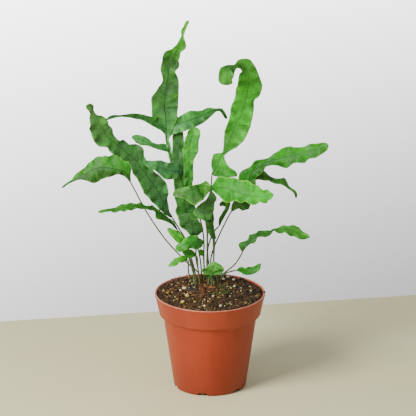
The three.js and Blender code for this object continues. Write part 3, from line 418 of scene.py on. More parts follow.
def turned(profile: list[Spot], sides: int) -> Shape:
    """Turn a profile round the pot's axis.

    Args:
        profile: radius and height pairs; a first or last radius of 0 closes the end.
        sides: corners round it.

    Returns:
        Points and faces.
    """
    points: list[Point] = []
    rings: list[list[int]] = []
    for radius, height in profile:
        count = 1 if radius == 0 else sides
        rings.append([len(points) + k for k in range(count)])
        angles = [ROUND * k / sides for k in range(count)]
        points += [(radius * math.cos(a), radius * math.sin(a), height) for a in angles]
    faces: list[Face] = []
    for low, high in zip(rings, rings[1:]):
        for k in range(sides):
            n = (k + 1) % sides
            corners = [low[k % len(low)], low[n % len(low)], high[n % len(high)], high[k % len(high)]]
            faces.append(tuple(dict.fromkeys(corners)))
    return np.array(points, dtype=float), faces


# Fronds

FOOT_DEPTH = 80.0  # height of each stipe's lower end, inside the soil
FOOT_TOP = 91.0
STIPE_RADIUS = 0.7
STEP = 1.3  # along a rib
CELLS = 22  # across a blade
FROND_SEED = 11.3  # between the irregularities of one frond and those of the next
BLADE_SEED = 3.7  # the same between blades of one frond
FRONT = np.array([0.0, -1.0, 0.0])
LEAF_TINT = (0.215, 0.545, 0.215, 1.0)


def reach_to(margin: list[Spot], point: np.ndarray, direction: np.ndarray) -> float:
    """Find how far a margin lies from a rib's point, as seen from the front and 20 degrees above.

    Args:
        margin: x and seen height of its points, from base to tip.
        point: the rib's point.
        direction: where to look.

    Returns:
        Millimetres along the direction.
    """
    start = np.array([point[0], point[2] + SEEN * point[1]])
    dx, dh = direction[0], direction[2] + SEEN * direction[1]
    line = np.array(margin)
    wx, wh = (line[:-1] - start).T
    ex, eh = np.diff(line, axis=0).T
    turn = dx * eh - dh * ex
    turn = np.where(np.abs(turn) < 1e-9, 1e-9, turn)
    reach, share = (wx * eh - wh * ex) / turn, (wx * dh - wh * dx) / turn
    met = reach[(reach > 0.05) & (share >= 0) & (share <= 1)]
    return float(met.min()) if len(met) else 0.5


@dataclass
class Blade:
    """One blade or lobe: its rib and margins, or rows of rib point and half widths, and its look.

    A rib's point is x, seen height and depth, and a margin's point is x and seen height, both from base to tip.
    """

    rib: list[Point] = field(default_factory=list)
    left: list[Spot] = field(default_factory=list)
    right: list[Spot] = field(default_factory=list)
    rows: list[Row] = field(default_factory=list)
    roll: float = 0.0
    twist: float = 0.0
    wave: float = 1.0
    pitch: float = 14.0
    cup: float = 0.0
    crimp: float = 0.35
    nibble: float = 0.16
    quilt: float = 0.32
    quilt_pitch: float = 6.3
    swell: float = 2.2
    lag: float = 2.2
    least_half: float = 0.5
    full_wave: float = 4.0
    end_length: float = 1.6
    thick: float = 0.5
    bar: float = 0.3
    bar_tone: float = 0.8
    # Colour stops from base to tip; in some blades they also hold painted sheen and the painted shade of folds.
    hues_and_painted_light: tuple[str, ...] = ("#568144", "#568144")
    # The tones of the two halves paint light and shade: a half turned to the light is made lighter, a shaded half
    # darker.
    left_light: float = 1.0
    right_light: float = 1.0
    pale_edge: float = 0.26

    def __post_init__(self) -> None:
        """Work out the rows of a blade that has a rib, and close its margins."""
        if self.rib:
            self.rows = [(x, y, seen - SEEN * y, 0, 0) for x, seen, y in self.rib]
            base, tip = self.rib[0][:2], self.rib[-1][:2]
            self.left, self.right = [base, *self.left, tip], [base, *self.right, tip]

    def stations(self) -> tuple[np.ndarray, np.ndarray, np.ndarray]:
        """Smooth the rows.

        Returns:
            Rib points, left and right half widths, and millimetres along the rib.
        """
        rows, found, along = self.rows, [], 0.0
        for i in range(len(rows) - 1):
            b, c = rows[i], rows[i + 1]
            a = rows[i - 1] if i else b
            d = rows[i + 2] if i + 2 < len(rows) else c
            length = math.dist(b[:3], c[:3])
            count = max(2, round(length / STEP))
            for k in range(count + (i == len(rows) - 2)):
                t = k / count
                found.append([blend(*four, t) for four in zip(a, b, c, d)] + [along + t * length])
            along += length
        table = np.array(found)
        return table[:, :3], table[:, 3:5], table[:, 5]

    def half_widths(self, ribs: np.ndarray, given: np.ndarray, turns: np.ndarray, sides: np.ndarray,
                    faces: np.ndarray) -> np.ndarray:
        """Measure how far the blade reaches to the left and right of its rib.

        Args:
            ribs: the rib's points.
            given: half widths of the rows.
            turns: the blade's roll at each point, in radians.
            sides: directions across the blade.
            faces: directions out of it.

        Returns:
            Left and right half widths.
        """
        if not self.rib:
            return given / np.cos(turns)[:, None]
        looks = [(self.left, self.cup * faces - sides), (self.right, self.cup * faces + sides)]
        halves = np.array([[reach_to(m, p, d[i]) for m, d in looks] for i, p in enumerate(ribs)]) + 0.3
        halves[1:-1] = halves[1:-1] * 0.6 + (halves[:-2] + halves[2:]) * 0.2
        return halves

    def middle(self, seed: float) -> tuple[np.ndarray, np.ndarray, np.ndarray, np.ndarray]:
        """Work out the blade's middle surface.

        Args:
            seed: where its small irregularities start.

        Returns:
            Points by station and cell, places on the leaf in millimetres, shares across and along.
        """
        ribs, given, along = self.stations()
        total = along[-1]
        forward = unit(np.gradient(ribs, axis=0))
        turns = np.radians(self.roll + self.twist * along / total)
        sides = np.array([rolled(unit(np.cross(f, FRONT)), f, t) for f, t in zip(forward, turns)])
        faces = np.cross(sides, forward)
        halves = self.half_widths(ribs, given, turns, sides, faces)
        across = np.linspace(-1, 1, CELLS + 1)
        margin, outward, on_left = across**2, np.abs(across), across < 0
        offset = np.where(on_left, 0.0, self.lag)
        grid = np.zeros((len(ribs), CELLS + 1, 3))
        place = np.zeros_like(grid)
        for i, (rib, s) in enumerate(zip(ribs, along)):
            # Both ends are narrowed, and a narrow blade has weaker ruffles.
            ends = min(1.0, (total - s + 0.25) / self.end_length, (s + 1.2) / self.end_length)
            half = np.maximum(self.least_half, np.where(on_left, *halves[i])) * ends
            fade = np.minimum(1, half / self.full_wave)
            # Small bites change the margin's outline.
            bites = [noise.noise(Vector((s * 0.3, seed + 7 * way, 5.1))) for way in (-1, 1)]
            reach = across * half * (1 + margin * fade * self.nibble * np.where(on_left, *bites) / half)
            # Long waves and short crimps run along the margin.
            phase = ROUND * s / self.pitch
            drift = noise.noise(Vector((s * 0.09, seed, 0.3)))
            small = np.sin(2.63 * phase + 3.1 * offset + 4 * drift) * (0.6 + drift)
            lift = margin * (self.cup * half + self.wave * fade * np.sin(phase + offset))
            lift += self.crimp * margin**2 * fade * small
            # Between rib and margin the blade is quilted by its side veins and swells unevenly.
            quilt = np.sin(ROUND * (s - 0.55 * outward * half) / self.quilt_pitch + seed)
            lift += self.quilt * quilt * fade * (1 - margin) * outward
            swell = [noise.noise(Vector((s * 0.085, a * 0.12, seed + 3.3))) for a in across * half]
            lift += self.swell * np.array(swell) * fade * outward
            grid[i] = rib + sides[i] * reach[:, None] + faces[i] * lift[:, None]
            place[i] = np.stack([across * half, np.full_like(across, s), np.full_like(across, seed)], 1)
        return grid, place, across, along / total

    def hue_grid(self, across: np.ndarray, share: np.ndarray) -> np.ndarray:
        """Colours from base to tip, some stops holding painted sheen and painted shade, with painted light and shade
        from side to side.

        Args:
            across: shares from the left margin, -1, to the right one, 1.
            share: shares along the rib.

        Returns:
            A colour for each station and cell.
        """
        hues_and_painted_light = np.array([paint(code) for code in self.hues_and_painted_light])
        last = len(hues_and_painted_light) - 2
        spot = share * (last + 1)
        spot = np.where(spot > last, last + np.clip(spot - last, 0, 1) ** 1.6, spot)  # the tip's colour comes late
        line = np.stack([np.interp(spot, np.arange(last + 2), hues_and_painted_light[:, n]) for n in range(4)], axis=1)
        side = 0.5 + 0.5 * np.tanh(across * 3)  # a soft step at the rib
        # Painted light and shade: each half is scaled by its tone.
        tone = self.left_light * (1 - side) + self.right_light * side
        hue = line[:, None, :] * tone[None, :, None]
        hue[..., 3] = 1
        return hue

    def add_to(self, gather: Gather, seed: float) -> np.ndarray:
        """Add the closed thin blade.

        Args:
            gather: the frond's mesh.
            seed: where its irregularities start.

        Returns:
            The points of its rib.
        """
        middle, place, across, share = self.middle(seed)
        rows, columns = middle.shape[:2]
        normal = unit(np.cross(np.gradient(middle, axis=1), np.gradient(middle, axis=0)))
        body = self.thick / 2 * (1 - 0.55 * across**2)
        inner = np.zeros((rows, columns), dtype=bool)
        inner[1:-1, 1:-1] = True
        rise = normal * body[None, :, None] * inner[..., None]
        number = np.arange(rows * columns).reshape(rows, columns)
        under = number.copy()
        under[inner] = rows * columns + np.arange(inner.sum())
        faces: list[Face] = []
        for i in range(rows - 1):
            for k in range(columns - 1):
                faces.append((number[i, k], number[i, k + 1], number[i + 1, k + 1], number[i + 1, k]))
                faces.append((under[i, k], under[i + 1, k], under[i + 1, k + 1], under[i, k + 1]))
        hue = self.hue_grid(across, share)
        trait = np.zeros((rows, columns, 3))  # share across, underside, strength of the pale edge
        trait[..., 0] = np.abs(across)
        trait[..., 2] = self.pale_edge
        beneath = trait[inner]
        beneath[:, 1] = 1.0
        gather.add(
            np.vstack([(middle + rise).reshape(-1, 3), (middle - rise)[inner]]),
            [tuple(int(n) for n in face) for face in faces],
            leaf_place=np.vstack([place.reshape(-1, 3), place[inner]]),
            leaf_trait=np.vstack([trait.reshape(-1, 3), beneath]),
            leaf_hue=np.vstack([hue.reshape(-1, 4), hue[inner]]),
        )
        return middle[:, columns // 2]


@dataclass
class Frond:
    """A whole frond: its node, its foot in the soil, its stalk and its blades."""

    node: str
    slot: str
    foot: Spot
    stipe: list[Point]
    blades: list[Blade]
    stalk_hues: tuple[str, str] = ("#6e8050", "#4e6238")
    stalk: float = STIPE_RADIUS
    lobe_rib: float = 0.42
    rib_tip: float = 0.06
    route_step: float = 2.0
    sides: int = 8
    pale_height: float = 96.0
    pale_fade: float = 34.0

    def build(self, materials: list[bpy.types.Material], seed: float) -> bpy.types.Object:
        """Make the frond.

        Args:
            materials: the blade's and the stalk's.
            seed: where its irregularities start.

        Returns:
            The piece.
        """
        gather = Gather()
        x, y = self.foot
        lead = [tuple(row[:3]) for row in self.blades[0].rows[:2]]
        given = [(x, y, FOOT_DEPTH), (x, y, FOOT_TOP - 5), (x, y, FOOT_TOP), *self.stipe, *lead]
        route = smooth_route(given, self.route_step)
        route = route[: int(np.argmin(np.linalg.norm(route - np.array(lead[0]), axis=1)))]
        ribs = [blade.add_to(gather, seed + BLADE_SEED * n) for n, blade in enumerate(self.blades)]
        self._add_bar(gather, np.vstack([route, ribs[0]]), len(route), self.stalk, self.blades[0])
        for blade, rib in zip(self.blades[1:], ribs[1:]):
            self._add_bar(gather, rib, 0, self.lobe_rib, blade)
        piece = gather.build(self.node.replace("frond_", "leafy_"), materials)
        return settle(piece, self.slot, self.node)

    def _add_bar(self, gather: Gather, route: np.ndarray, start: int, thick: float, blade: Blade) -> None:
        """Add a stalk that goes on as a rib.

        Args:
            gather: the frond's mesh.
            route: its middle line.
            start: the number of places before the blade begins.
            thick: radius where it begins.
            blade: the blade whose rib it is.
        """
        run = np.linspace(0, 1, len(route) - start)
        radii = np.append(np.linspace(thick, 0.97 * thick, start), blade.bar * (1 - run) ** 0.5 + self.rib_tip)
        points, faces = tube(route, radii, self.sides)
        low, high = (np.array(paint(code)) for code in self.stalk_hues)
        mixed = np.clip((np.repeat(route[:, 2], self.sides) - self.pale_height) / self.pale_fade, 0, 1)[:, None]
        hue = low * (1 - mixed) + high * mixed
        leaf = blade.hue_grid(np.zeros(1), run)[:, 0] * np.array(LEAF_TINT) * blade.bar_tone
        blended = np.repeat(np.clip(run * 14, 0, 1), self.sides)[:, None]
        first = self.sides * start
        hue[first:] = hue[first:] * (1 - blended) + np.repeat(leaf, self.sides, axis=0) * blended
        gather.add(points, faces, 1, leaf_place=points, leaf_trait=np.zeros((len(points), 3)), leaf_hue=hue)


@dataclass(frozen=True)
class LeafFinish:
    """Blade of a leathery fern leaf with fine side veins, a thin pale margin and a lighter underside, with painted
    sheen in broad patches, painted highlights and shade on its ruffles and painted shade along the midrib.
    """

    vein_spacing: float = 3.4
    ruffle_pitch: float = 11.5
    shine: float = 0.47
    painted_sheen: str = "#dff0c0"
    shade: str = "#86b078"
    streaks: str = "#a8d070"
    veins: str = "#a8cf80"
    ruffle_highlight: str = "#e4f4cc"
    ruffle_shade: str = "#8cb484"
    groove_shade: str = "#23481a"
    rim: str = "#84cc42"
    underside: str = "#5c9440"

    def material(self) -> bpy.types.Material:
        """Make the blade's material."""
        tree = Tree("leaf_blade")
        place = tree.attribute("leaf_place", "Vector")
        side, along, _ = place.parts()
        edge, under, pale = tree.attribute("leaf_trait", "Vector").parts()
        # The stored colour holds the painted sheen, light and shade of the blade's stops and tones besides its hue.
        hue = tree.mix(1.0, tree.attribute("leaf_hue", "Color"), LEAF_TINT, "MULTIPLY")
        broad = tree.cloud(place, 0.07, 2.0, 0.5)
        mottle = tree.cloud(place, 0.3, 3.0, 0.6)
        fine = tree.cloud(place, 2.0, 2.0, 0.5)
        streak = tree.cloud(tree.scaled(place, (0.35, 1.0, 1.0)), 0.9, 3.0, 0.6)
        aside = abs(side)
        phase = (along - aside * 0.62 + mottle * 2.4) * (ROUND / self.vein_spacing)
        vein = (phase.sine() * 0.5 + 0.5) ** 5.0 * aside.ease(0.4, 1.6) * edge.ease(0.97, 0.8)
        ruffle = ((along + broad * 16.0) * (ROUND / self.ruffle_pitch)).sine() * edge
        # Painted sheen: broad patches are lightened as a soft gloss would light them.
        colour = tree.glaze(broad.ease(0.42, 0.64) * 0.85, hue, self.painted_sheen, "SOFT_LIGHT")
        colour = tree.glaze(mottle.ease(0.55, 0.3) * 0.42, colour, self.shade)
        colour = tree.glaze(streak.ease(0.35, 0.7) * 0.05, colour, self.streaks, "SCREEN")
        colour = tree.glaze(vein * 0.04, colour, self.veins, "SCREEN")
        # Painted highlights on the ruffles' crests and painted shade in their troughs.
        colour = tree.glaze(ruffle.ease(0.05, 0.8) * 0.5, colour, self.ruffle_highlight, "SOFT_LIGHT")
        colour = tree.glaze(ruffle.ease(-0.05, -0.8) * 0.42, colour, self.ruffle_shade)
        colour = tree.cover(
            colour,
            # Painted shade: a thin dark line along the midrib's groove.
            (aside.ease(0.25, 0.9, 1.0, 0.0) * 0.3, self.groove_shade),
            (edge.ease(0.85, 0.97) * pale, self.rim),
            (under * 0.35, self.underside),
        )
        rough = mottle * 0.1 + self.shine + under * 0.12
        normal = tree.relief(broad * 1.1 + ruffle * 0.2 + mottle * 0.07 + vein * 0.01 + fine * 0.004, 0.0026)
        return tree.surface(Base_Color=colour, Roughness=rough, Normal=normal, Specular_IOR_Level=0.27)


@dataclass(frozen=True)
class StalkFinish:
    """Wiry satin stalk in the colour stored on it, with brown streaks and dark specks."""

    streaks: str = "#8a7a50"
    specks: str = "#3a2a1a"

    def material(self) -> bpy.types.Material:
        """Make the stalk's material."""
        tree = Tree("leaf_stalk")
        place = tree.attribute("leaf_place", "Vector")
        streak = tree.cloud(tree.scaled(place, (1.0, 1.0, 0.12)), 1.4, 3.0)
        speck = tree.cloud(place, 1.1, 2.0)
        colour = tree.glaze(streak.ease(0.3, 0.7) * 0.2, tree.attribute("leaf_hue", "Color"), self.streaks)
        colour = tree.mix(speck.ease(0.62, 0.72) * 0.2, colour, self.specks)
        return tree.surface(Base_Color=colour, Roughness=streak * 0.2 + 0.35, Normal=tree.relief(streak, 0.0001))


FRONDS: list[Frond] = [
    Frond("frond_tall_three_lobed", "blue_green_leaf", (-4.5, 38), [(-5.7, 36, 108), (-6.3, 35, 138), (-11, 34, 159),
        (-22, 33, 179), (-32, 31.5, 199)], [
        Blade(
            [(-35, 218.3, 31), (-37, 228.3, 31), (-38.9, 238.3, 31), (-41, 246, 31.4), (-41.5, 255, 32),
             (-42, 270, 33), (-43.3, 280, 33.6), (-42.5, 290, 34.2), (-41.5, 300, 35.2), (-40, 310, 36.4),
             (-38.5, 320, 37.4), (-36.5, 327, 38.2), (-34, 333, 39), (-31, 338, 39.7), (-28.5, 343, 40.2),
             (-26.5, 350, 40.9), (-25.7, 356, 41.7), (-23.5, 361, 42.4), (-20.7, 367.2, 43)],
            [(-36, 218.3), (-38.8, 228.3), (-40.5, 238.3), (-42.2, 246), (-42.5, 252), (-50, 262), (-55, 270),
             (-55, 280), (-55.7, 288.5), (-55, 290.5), (-51, 296), (-48.5, 300), (-45.5, 303.5), (-44.5, 308),
             (-45.5, 313), (-46.7, 316), (-46.5, 320), (-45.3, 326), (-45, 331), (-43.5, 335), (-41, 337), (-36, 338),
             (-34.5, 340.5), (-32, 342), (-30.3, 345), (-28.5, 348), (-27, 351), (-27, 354), (-27.6, 357.5),
             (-25, 360.5), (-24, 364), (-22.2, 367)],
            [(-34, 218.3), (-35, 228.3), (-36.9, 238.3), (-38.9, 246), (-39.5, 248), (-35, 258), (-30, 269),
             (-31.5, 272), (-30.5, 280), (-30, 290), (-29.7, 300), (-29.8, 306), (-31, 311), (-33.5, 315.5),
             (-32.5, 317.5), (-29.7, 320), (-29, 323), (-30, 327), (-28.3, 330.5), (-28.6, 334.5), (-26, 336.5),
             (-22.5, 339), (-22.5, 341.5), (-23.8, 347), (-25.3, 351), (-24.5, 354), (-23, 358), (-21, 363),
             (-19.3, 366)],
            pitch=17, cup=0.12,
            # The second and third stops paint a bluish-white sheen near the fork.
            hues_and_painted_light=("#90b49c", "#bce4cc", "#84b090", "#547656", "#547652", "#587c4a", "#84c84c", "#d0ff80"),
            left_light=1.05, right_light=0.95, bar=0.5, bar_tone=0.3,
        ),
        Blade(
            [(-41.5, 258, 32.3), (-50, 261, 29), (-56, 264.5, 26.6), (-62, 267.8, 23.7), (-70, 270.3, 19.6),
             (-80, 271.1, 14.2), (-88, 270.8, 10), (-95.5, 269.2, 6), (-98.2, 267.3, 4.5)],
            [(-42.5, 252), (-44, 255), (-50, 258.5), (-56, 262), (-62, 266), (-66, 267.5), (-70, 268), (-76, 269.5),
             (-83, 270.2), (-88, 269.8), (-93, 268.4), (-96.5, 266.8)],
            [(-41.5, 264), (-46, 268), (-55, 270), (-60, 271.3), (-64.5, 272.6), (-70, 273.2), (-74, 273.3),
             (-80, 272.2), (-86, 271.6), (-92, 271.7), (-95.5, 270.2)],
            wave=0.6, pitch=30, roll=20, cup=0.1, hues_and_painted_light=("#669a72", "#5f8a66", "#7fa87c"), left_light=1.1,
            right_light=0.9, bar=0.4,
        ),
        Blade(
            [(-41, 250, 32), (-30, 262, 33.7), (-20, 267, 35.8), (-10, 270.5, 38), (-2, 274.5, 39.7), (4, 277, 40.9),
             (9, 277.6, 41.5), (12, 275.8, 42), (14.5, 271.5, 42.3), (16.3, 268.3, 42.5)],
            [(-41.5, 258), (-31, 269), (-25, 273), (-19, 276.3), (-12, 276), (-7, 276.5), (-4, 278.5), (-0.5, 279.7),
             (3, 278.6), (6, 278.4), (10.5, 279), (12.7, 277), (14.7, 273.5), (16.5, 269.5)],
            [(-40, 246), (-37, 252), (-25, 255.5), (-20, 258), (-12, 261), (-6, 264.5), (-1, 269), (3, 273), (6, 276),
             (8.5, 276.4), (11, 274.5), (13, 271), (14.8, 268)],
            # The first stops paint a sheen at the base; the right half's low tone paints the shade of its folded
            # lower half.
            wave=0.7, pitch=26, roll=-15, cup=0.22, hues_and_painted_light=("#f0fff8", "#a8d8b8", "#5f9668", "#4c7c48", "#44703a"),
            left_light=1.2, right_light=0.66, bar=0.42,
        ),
        Blade(
            [(-38.7, 238.3, 31), (-45, 239.8, 30.4), (-50, 240.2, 29.3), (-55, 241.8, 27.8), (-60, 244.8, 26.4),
             (-66, 247, 25), (-71, 248.8, 24.1), (-74.5, 250, 23.8)],
            [(-39, 234.5), (-45, 236.2), (-50, 237.5), (-55, 239.5), (-60, 241.5), (-66, 242), (-70, 244.5),
             (-73, 248)],
            [(-39.5, 242.5), (-46, 243), (-50, 242.5), (-54, 244), (-58, 247.5), (-62, 250), (-67, 251.5),
             (-72, 252)],
            # The second and last stops paint a whitish sheen.
            wave=0.4, roll=20, twist=20, hues_and_painted_light=("#4f8844", "#9ccca8", "#b8e0c4"),
        ),
    ]),
    Frond("frond_centre_lobed", "fresh_green_leaf", (-8, 34.5), [(-9, 30, 113), (-12.3, 27, 131)], [
        Blade(
            [(-17, 156, 25), (-19.9, 164, 25), (-22.8, 173.9, 24.5), (-24.2, 186.7, 24), (-25.1, 197.6, 23.5),
             (-26.5, 205.4, 23), (-28, 214.2, 22.5), (-29, 226, 25), (-30.2, 238, 29.5), (-30.6, 248, 34),
             (-30.8, 256, 38), (-31, 263.5, 41)],
            [(-18.5, 156), (-25, 160), (-30, 168), (-33, 174.5), (-32.5, 177), (-31, 180), (-32, 183), (-33.2, 187),
             (-33.8, 192), (-33.7, 198), (-34.3, 203), (-34.5, 208), (-35, 215), (-36.5, 223.3), (-35.8, 230),
             (-35.5, 238), (-35.5, 248), (-35, 256), (-33, 262)],
            [(-15.5, 156), (-14.5, 160), (-13.5, 168), (-14, 175), (-15, 186), (-16, 197), (-18, 205), (-22, 214),
             (-23.5, 222), (-24.5, 232), (-25, 240), (-25, 248), (-26, 256), (-28, 262)],
            wave=0.8, pitch=19, cup=0.1, hues_and_painted_light=("#4c7250", "#587e5e", "#5a8238"), bar=0.5,
        ),
        Blade(
            [(-21.8, 197.3, 22.8), (-20.6, 206, 20), (-20.2, 216, 18), (-20.2, 226, 16.8), (-19.6, 236, 15.6),
             (-18, 246, 14.8), (-16.3, 254, 14.2), (-15.3, 260, 14)],
            [(-25.5, 197), (-24, 201), (-24, 210), (-24.3, 222), (-25.5, 232), (-26, 237), (-24.5, 240), (-24.5, 245),
             (-23, 249), (-21, 252.5), (-21.7, 255), (-20.5, 257.5), (-17, 259.7)],
            [(-17.5, 197), (-17, 201), (-16.3, 208), (-15.8, 214), (-16, 220), (-15.8, 226.5), (-14.5, 228.5),
             (-13, 231.5), (-11.5, 235), (-11.2, 240), (-10.7, 245), (-10.3, 249), (-9.3, 252), (-9.5, 256),
             (-11.3, 258.8), (-14, 259.8)],
            pitch=15, roll=12, cup=0.1, hues_and_painted_light=("#5a9a54", "#84cc7c", "#90d482"), left_light=0.95, right_light=1.03,
            bar=0.4,
        ),
        Blade(
            [(-26, 214.7, 22), (-33.2, 215.4, 17.5), (-40.8, 216.3, 14.5), (-47.4, 219.3, 11.5), (-54, 221.5, 9.5),
             (-60, 223, 9), (-63.5, 224.8, 8.8)],
            [(-26, 209), (-30, 208), (-36, 207.3), (-41, 207), (-45, 208.5), (-48, 212), (-52, 216.5), (-57, 217.5),
             (-62, 222)],
            [(-27, 221), (-36, 223.3), (-43.5, 224.5), (-45.5, 226), (-50, 226), (-55, 225.4), (-60, 226),
             (-62.8, 226.3)],
            wave=0.8, pitch=16, roll=20, cup=-0.08, hues_and_painted_light=("#6c8c84", "#7ca498", "#a8ceb4"), left_light=0.95, bar=0.4,
        ),
    ]),
    Frond("frond_arching_left", "blue_green_leaf", (-13, 28), [(-14.2, 27, 103), (-18.5, 25, 121), (-24, 24, 139),
        (-27.8, 23.5, 146)], [
        Blade(
            [(-36.3, 169, 22), (-39.5, 174, 21.2), (-44, 183, 19.7), (-50, 195, 17.5), (-57, 206, 15), (-64, 217, 12),
             (-71, 227, 9), (-79, 234, 5.5), (-88, 242, 1), (-97, 250, -3.2), (-103, 259, -7), (-107, 268, -9.8),
             (-111, 276, -12.5), (-113.5, 283.4, -15)],
            [(-37.5, 169), (-43.5, 172.5), (-47, 176.5), (-52, 181.5), (-55, 184), (-58.5, 189), (-62.5, 193),
             (-64.5, 198), (-66, 202), (-69, 208), (-73, 213), (-75.5, 220), (-76, 225), (-78, 225.8), (-82, 226),
             (-85, 227.5), (-86.5, 229), (-88, 232), (-90, 232.7), (-93, 233.5), (-95, 235), (-96.5, 238.5),
             (-97.5, 240), (-100, 240.3), (-103, 240), (-104.5, 239.5), (-106, 241), (-108, 243.2), (-110, 246),
             (-111.5, 250), (-112, 254), (-114.5, 258.5), (-113.5, 261.5), (-113, 267), (-112.8, 272), (-114, 275.5),
             (-116.5, 277.5), (-116, 280), (-115.5, 282.5)],
            [(-35.5, 169.5), (-38, 173), (-39.5, 178), (-40, 185), (-40, 193), (-40.5, 200), (-41.5, 203.5),
             (-44, 206.5), (-46.5, 209.5), (-51, 213), (-55, 217), (-58, 222), (-60.5, 226.5), (-62.5, 229.5),
             (-62.5, 233), (-63, 236.5), (-65, 240.5), (-68, 241.5), (-73, 241.5), (-75, 242.5), (-77, 242),
             (-79, 244.5), (-81.5, 246.5), (-84, 246.3), (-86, 245.8), (-88.5, 248), (-91, 251.5), (-92.5, 256),
             (-92.7, 258.5), (-95, 260.3), (-96.5, 263), (-97.2, 266.5), (-98.5, 268), (-101, 270), (-105, 271.3),
             (-108.5, 273), (-110, 276.5), (-109.3, 279.5), (-110.5, 282)],
            wave=1.6, pitch=13, roll=14, cup=0.08, hues_and_painted_light=("#587c72", "#688a72", "#829672"), left_light=0.96,
            right_light=1.06, pale_edge=0.3, bar=0.55,
        ),
    ]),
    Frond("frond_drooping_left", "fresh_green_leaf", (-9.5, 39.5), [(-11, 40, 97.8), (-22.1, 41.5, 108),
        (-42.3, 43.5, 130.3), (-61.5, 45.5, 159.8), (-71.4, 47, 178.9)], [
        Blade(
            [(-75.7, 204.5, 47.8), (-78.5, 211, 48.4), (-83, 215.5, 48.9), (-90, 217.5, 49.7), (-98, 219, 50.7),
             (-106, 219, 51.6), (-112, 217, 52.3), (-118, 213.5, 53), (-124, 210.5, 54), (-130, 206.7, 55),
             (-136, 202.8, 55.5), (-141.5, 198.6, 56)],
            [(-76, 204), (-78, 207), (-80.5, 210), (-83, 211.3), (-86, 212), (-88.5, 212.7), (-90.5, 212),
             (-93, 210.5), (-95, 209.7), (-98, 209.5), (-101, 208.5), (-104, 207), (-106.5, 205.3), (-108.5, 203.8),
             (-111.5, 203.2), (-114, 204.5), (-117, 205.8), (-120, 206.8), (-123.5, 207.3), (-127, 206.5),
             (-129.5, 205.3), (-133, 203.8), (-136, 202), (-139, 199.3)],
            [(-75.3, 208), (-75.5, 212), (-75.2, 220), (-76, 225), (-80, 227), (-85, 229), (-88, 231.5), (-90.5, 233),
             (-93, 232.5), (-95, 230.5), (-97, 229.8), (-99.5, 231.5), (-101, 230.7), (-102, 229), (-103.5, 230),
             (-106, 230.3), (-107.7, 231), (-109, 229), (-110.5, 227.5), (-112.5, 226), (-113.5, 224.5),
             (-116, 223.5), (-118, 221), (-120, 218.5), (-123, 215.5), (-126, 213.5), (-128.5, 211.5), (-130, 209),
             (-130.5, 207.6), (-133, 205.6), (-136, 203.9), (-139, 201.4)],
            # The left half's low tone paints shade on it.
            wave=1.3, pitch=11, roll=24, cup=-0.15, hues_and_painted_light=("#4c9034", "#60a440", "#76a04a"), left_light=0.32,
            right_light=1.15, pale_edge=0.3, bar=0.55,
        ),
    ]),
    Frond("frond_narrow_left", "deep_green_leaf", (-15.5, 23.5), [(-15.6, 23.5, 104), (-19.9, 20, 122.5),
        (-25, 17.5, 141)], [
        Blade(
            [(-31, 156, 15.5), (-38, 164.8, 13), (-43.5, 169, 11.2), (-48.5, 173, 9.4), (-53, 176.8, 7.8),
             (-58, 178.4, 5.6), (-66, 180.5, 2), (-75, 179.6, -2.2), (-82, 178.8, -5.4), (-89, 176.8, -8.5),
             (-98, 175.8, -12.3), (-106, 174, -15.2)],
            [(-33, 157.5), (-34.5, 159), (-36, 161.5), (-38.5, 162.7), (-41, 164.5), (-43, 166), (-48.5, 166.3),
             (-51, 168.5), (-52.3, 171), (-52, 174), (-53.5, 175.5), (-57, 176.5), (-65, 178), (-70, 177.7),
             (-73, 177), (-75, 176), (-77, 176.7), (-81.5, 175), (-84.5, 175.8), (-86.5, 174.5), (-89, 173.6),
             (-92, 174), (-94, 175), (-97, 174), (-99, 174.5), (-101, 173.5), (-104.5, 173.4)],
            [(-31.5, 159), (-37, 167), (-43, 172), (-47, 176), (-51, 177.5), (-52, 181), (-54, 181.8), (-57, 180.2),
             (-60, 180.3), (-63.5, 181.8), (-66, 183.6), (-69.5, 182), (-72.5, 183), (-75.5, 183), (-79, 182.2),
             (-82, 182.6), (-85, 180.8), (-88, 179.5), (-92, 178), (-98, 177.3), (-103, 176.3), (-106, 174.5)],
            pitch=10, roll=46, cup=0.1, hues_and_painted_light=("#446e34", "#588c40", "#86b866"), right_light=1.15, pale_edge=0.6,
            bar=0.45,
        ),
    ]),
    Frond("frond_curled_tall", "fresh_green_leaf", (3, 36.5), [(3.5, 35, 113), (3, 33, 139), (2.5, 31, 160),
        (1.5, 29, 186)], [
        Blade(
            [(2, 211.7, 28), (4, 215.5, 27.5), (7, 222, 26.4), (10.3, 230, 25.3), (12.6, 233.4, 24.5), (16, 240, 24),
             (19, 248, 23.4), (22, 256, 22.8), (25, 264, 22.1), (29, 271, 21.3), (31, 278, 20.7), (33.5, 286, 20),
             (35, 294, 19.2), (36.5, 301, 18.2), (37, 308, 17), (36, 314, 15.2), (33.5, 319, 12.5),
             (29.5, 322.3, 9.5), (24, 321, 5.5), (19, 319, 2), (16.5, 315, 0), (16, 309, -1), (17, 301.6, 0)],
            [(0.8, 211.8), (1.5, 213.3), (3, 215), (2.2, 217.5), (1.2, 221), (1.5, 225), (2.5, 230), (4, 233.2),
             (8, 233), (11.8, 234), (12.5, 235.5), (13, 240), (13.5, 248), (13.8, 255), (15.5, 261.5), (17.5, 265),
             (19, 271), (19.5, 278), (20.7, 282), (22.5, 285.5), (24, 290), (24.5, 297), (26, 302), (27, 308),
             (28, 313), (30.3, 317), (29, 318.5), (26, 319.2), (24.5, 318.5), (24, 315), (22.5, 311.5), (20.7, 307.5),
             (21.3, 301.6)],
            [(2.2, 210.5), (14, 209), (26, 209), (25.5, 212), (24.5, 215), (23, 216.5), (20.5, 218), (18.5, 219.5),
             (16, 223), (14.5, 226.5), (13.4, 230.3), (13.4, 232), (17, 234), (21, 236.5), (25.5, 239.5), (28, 243),
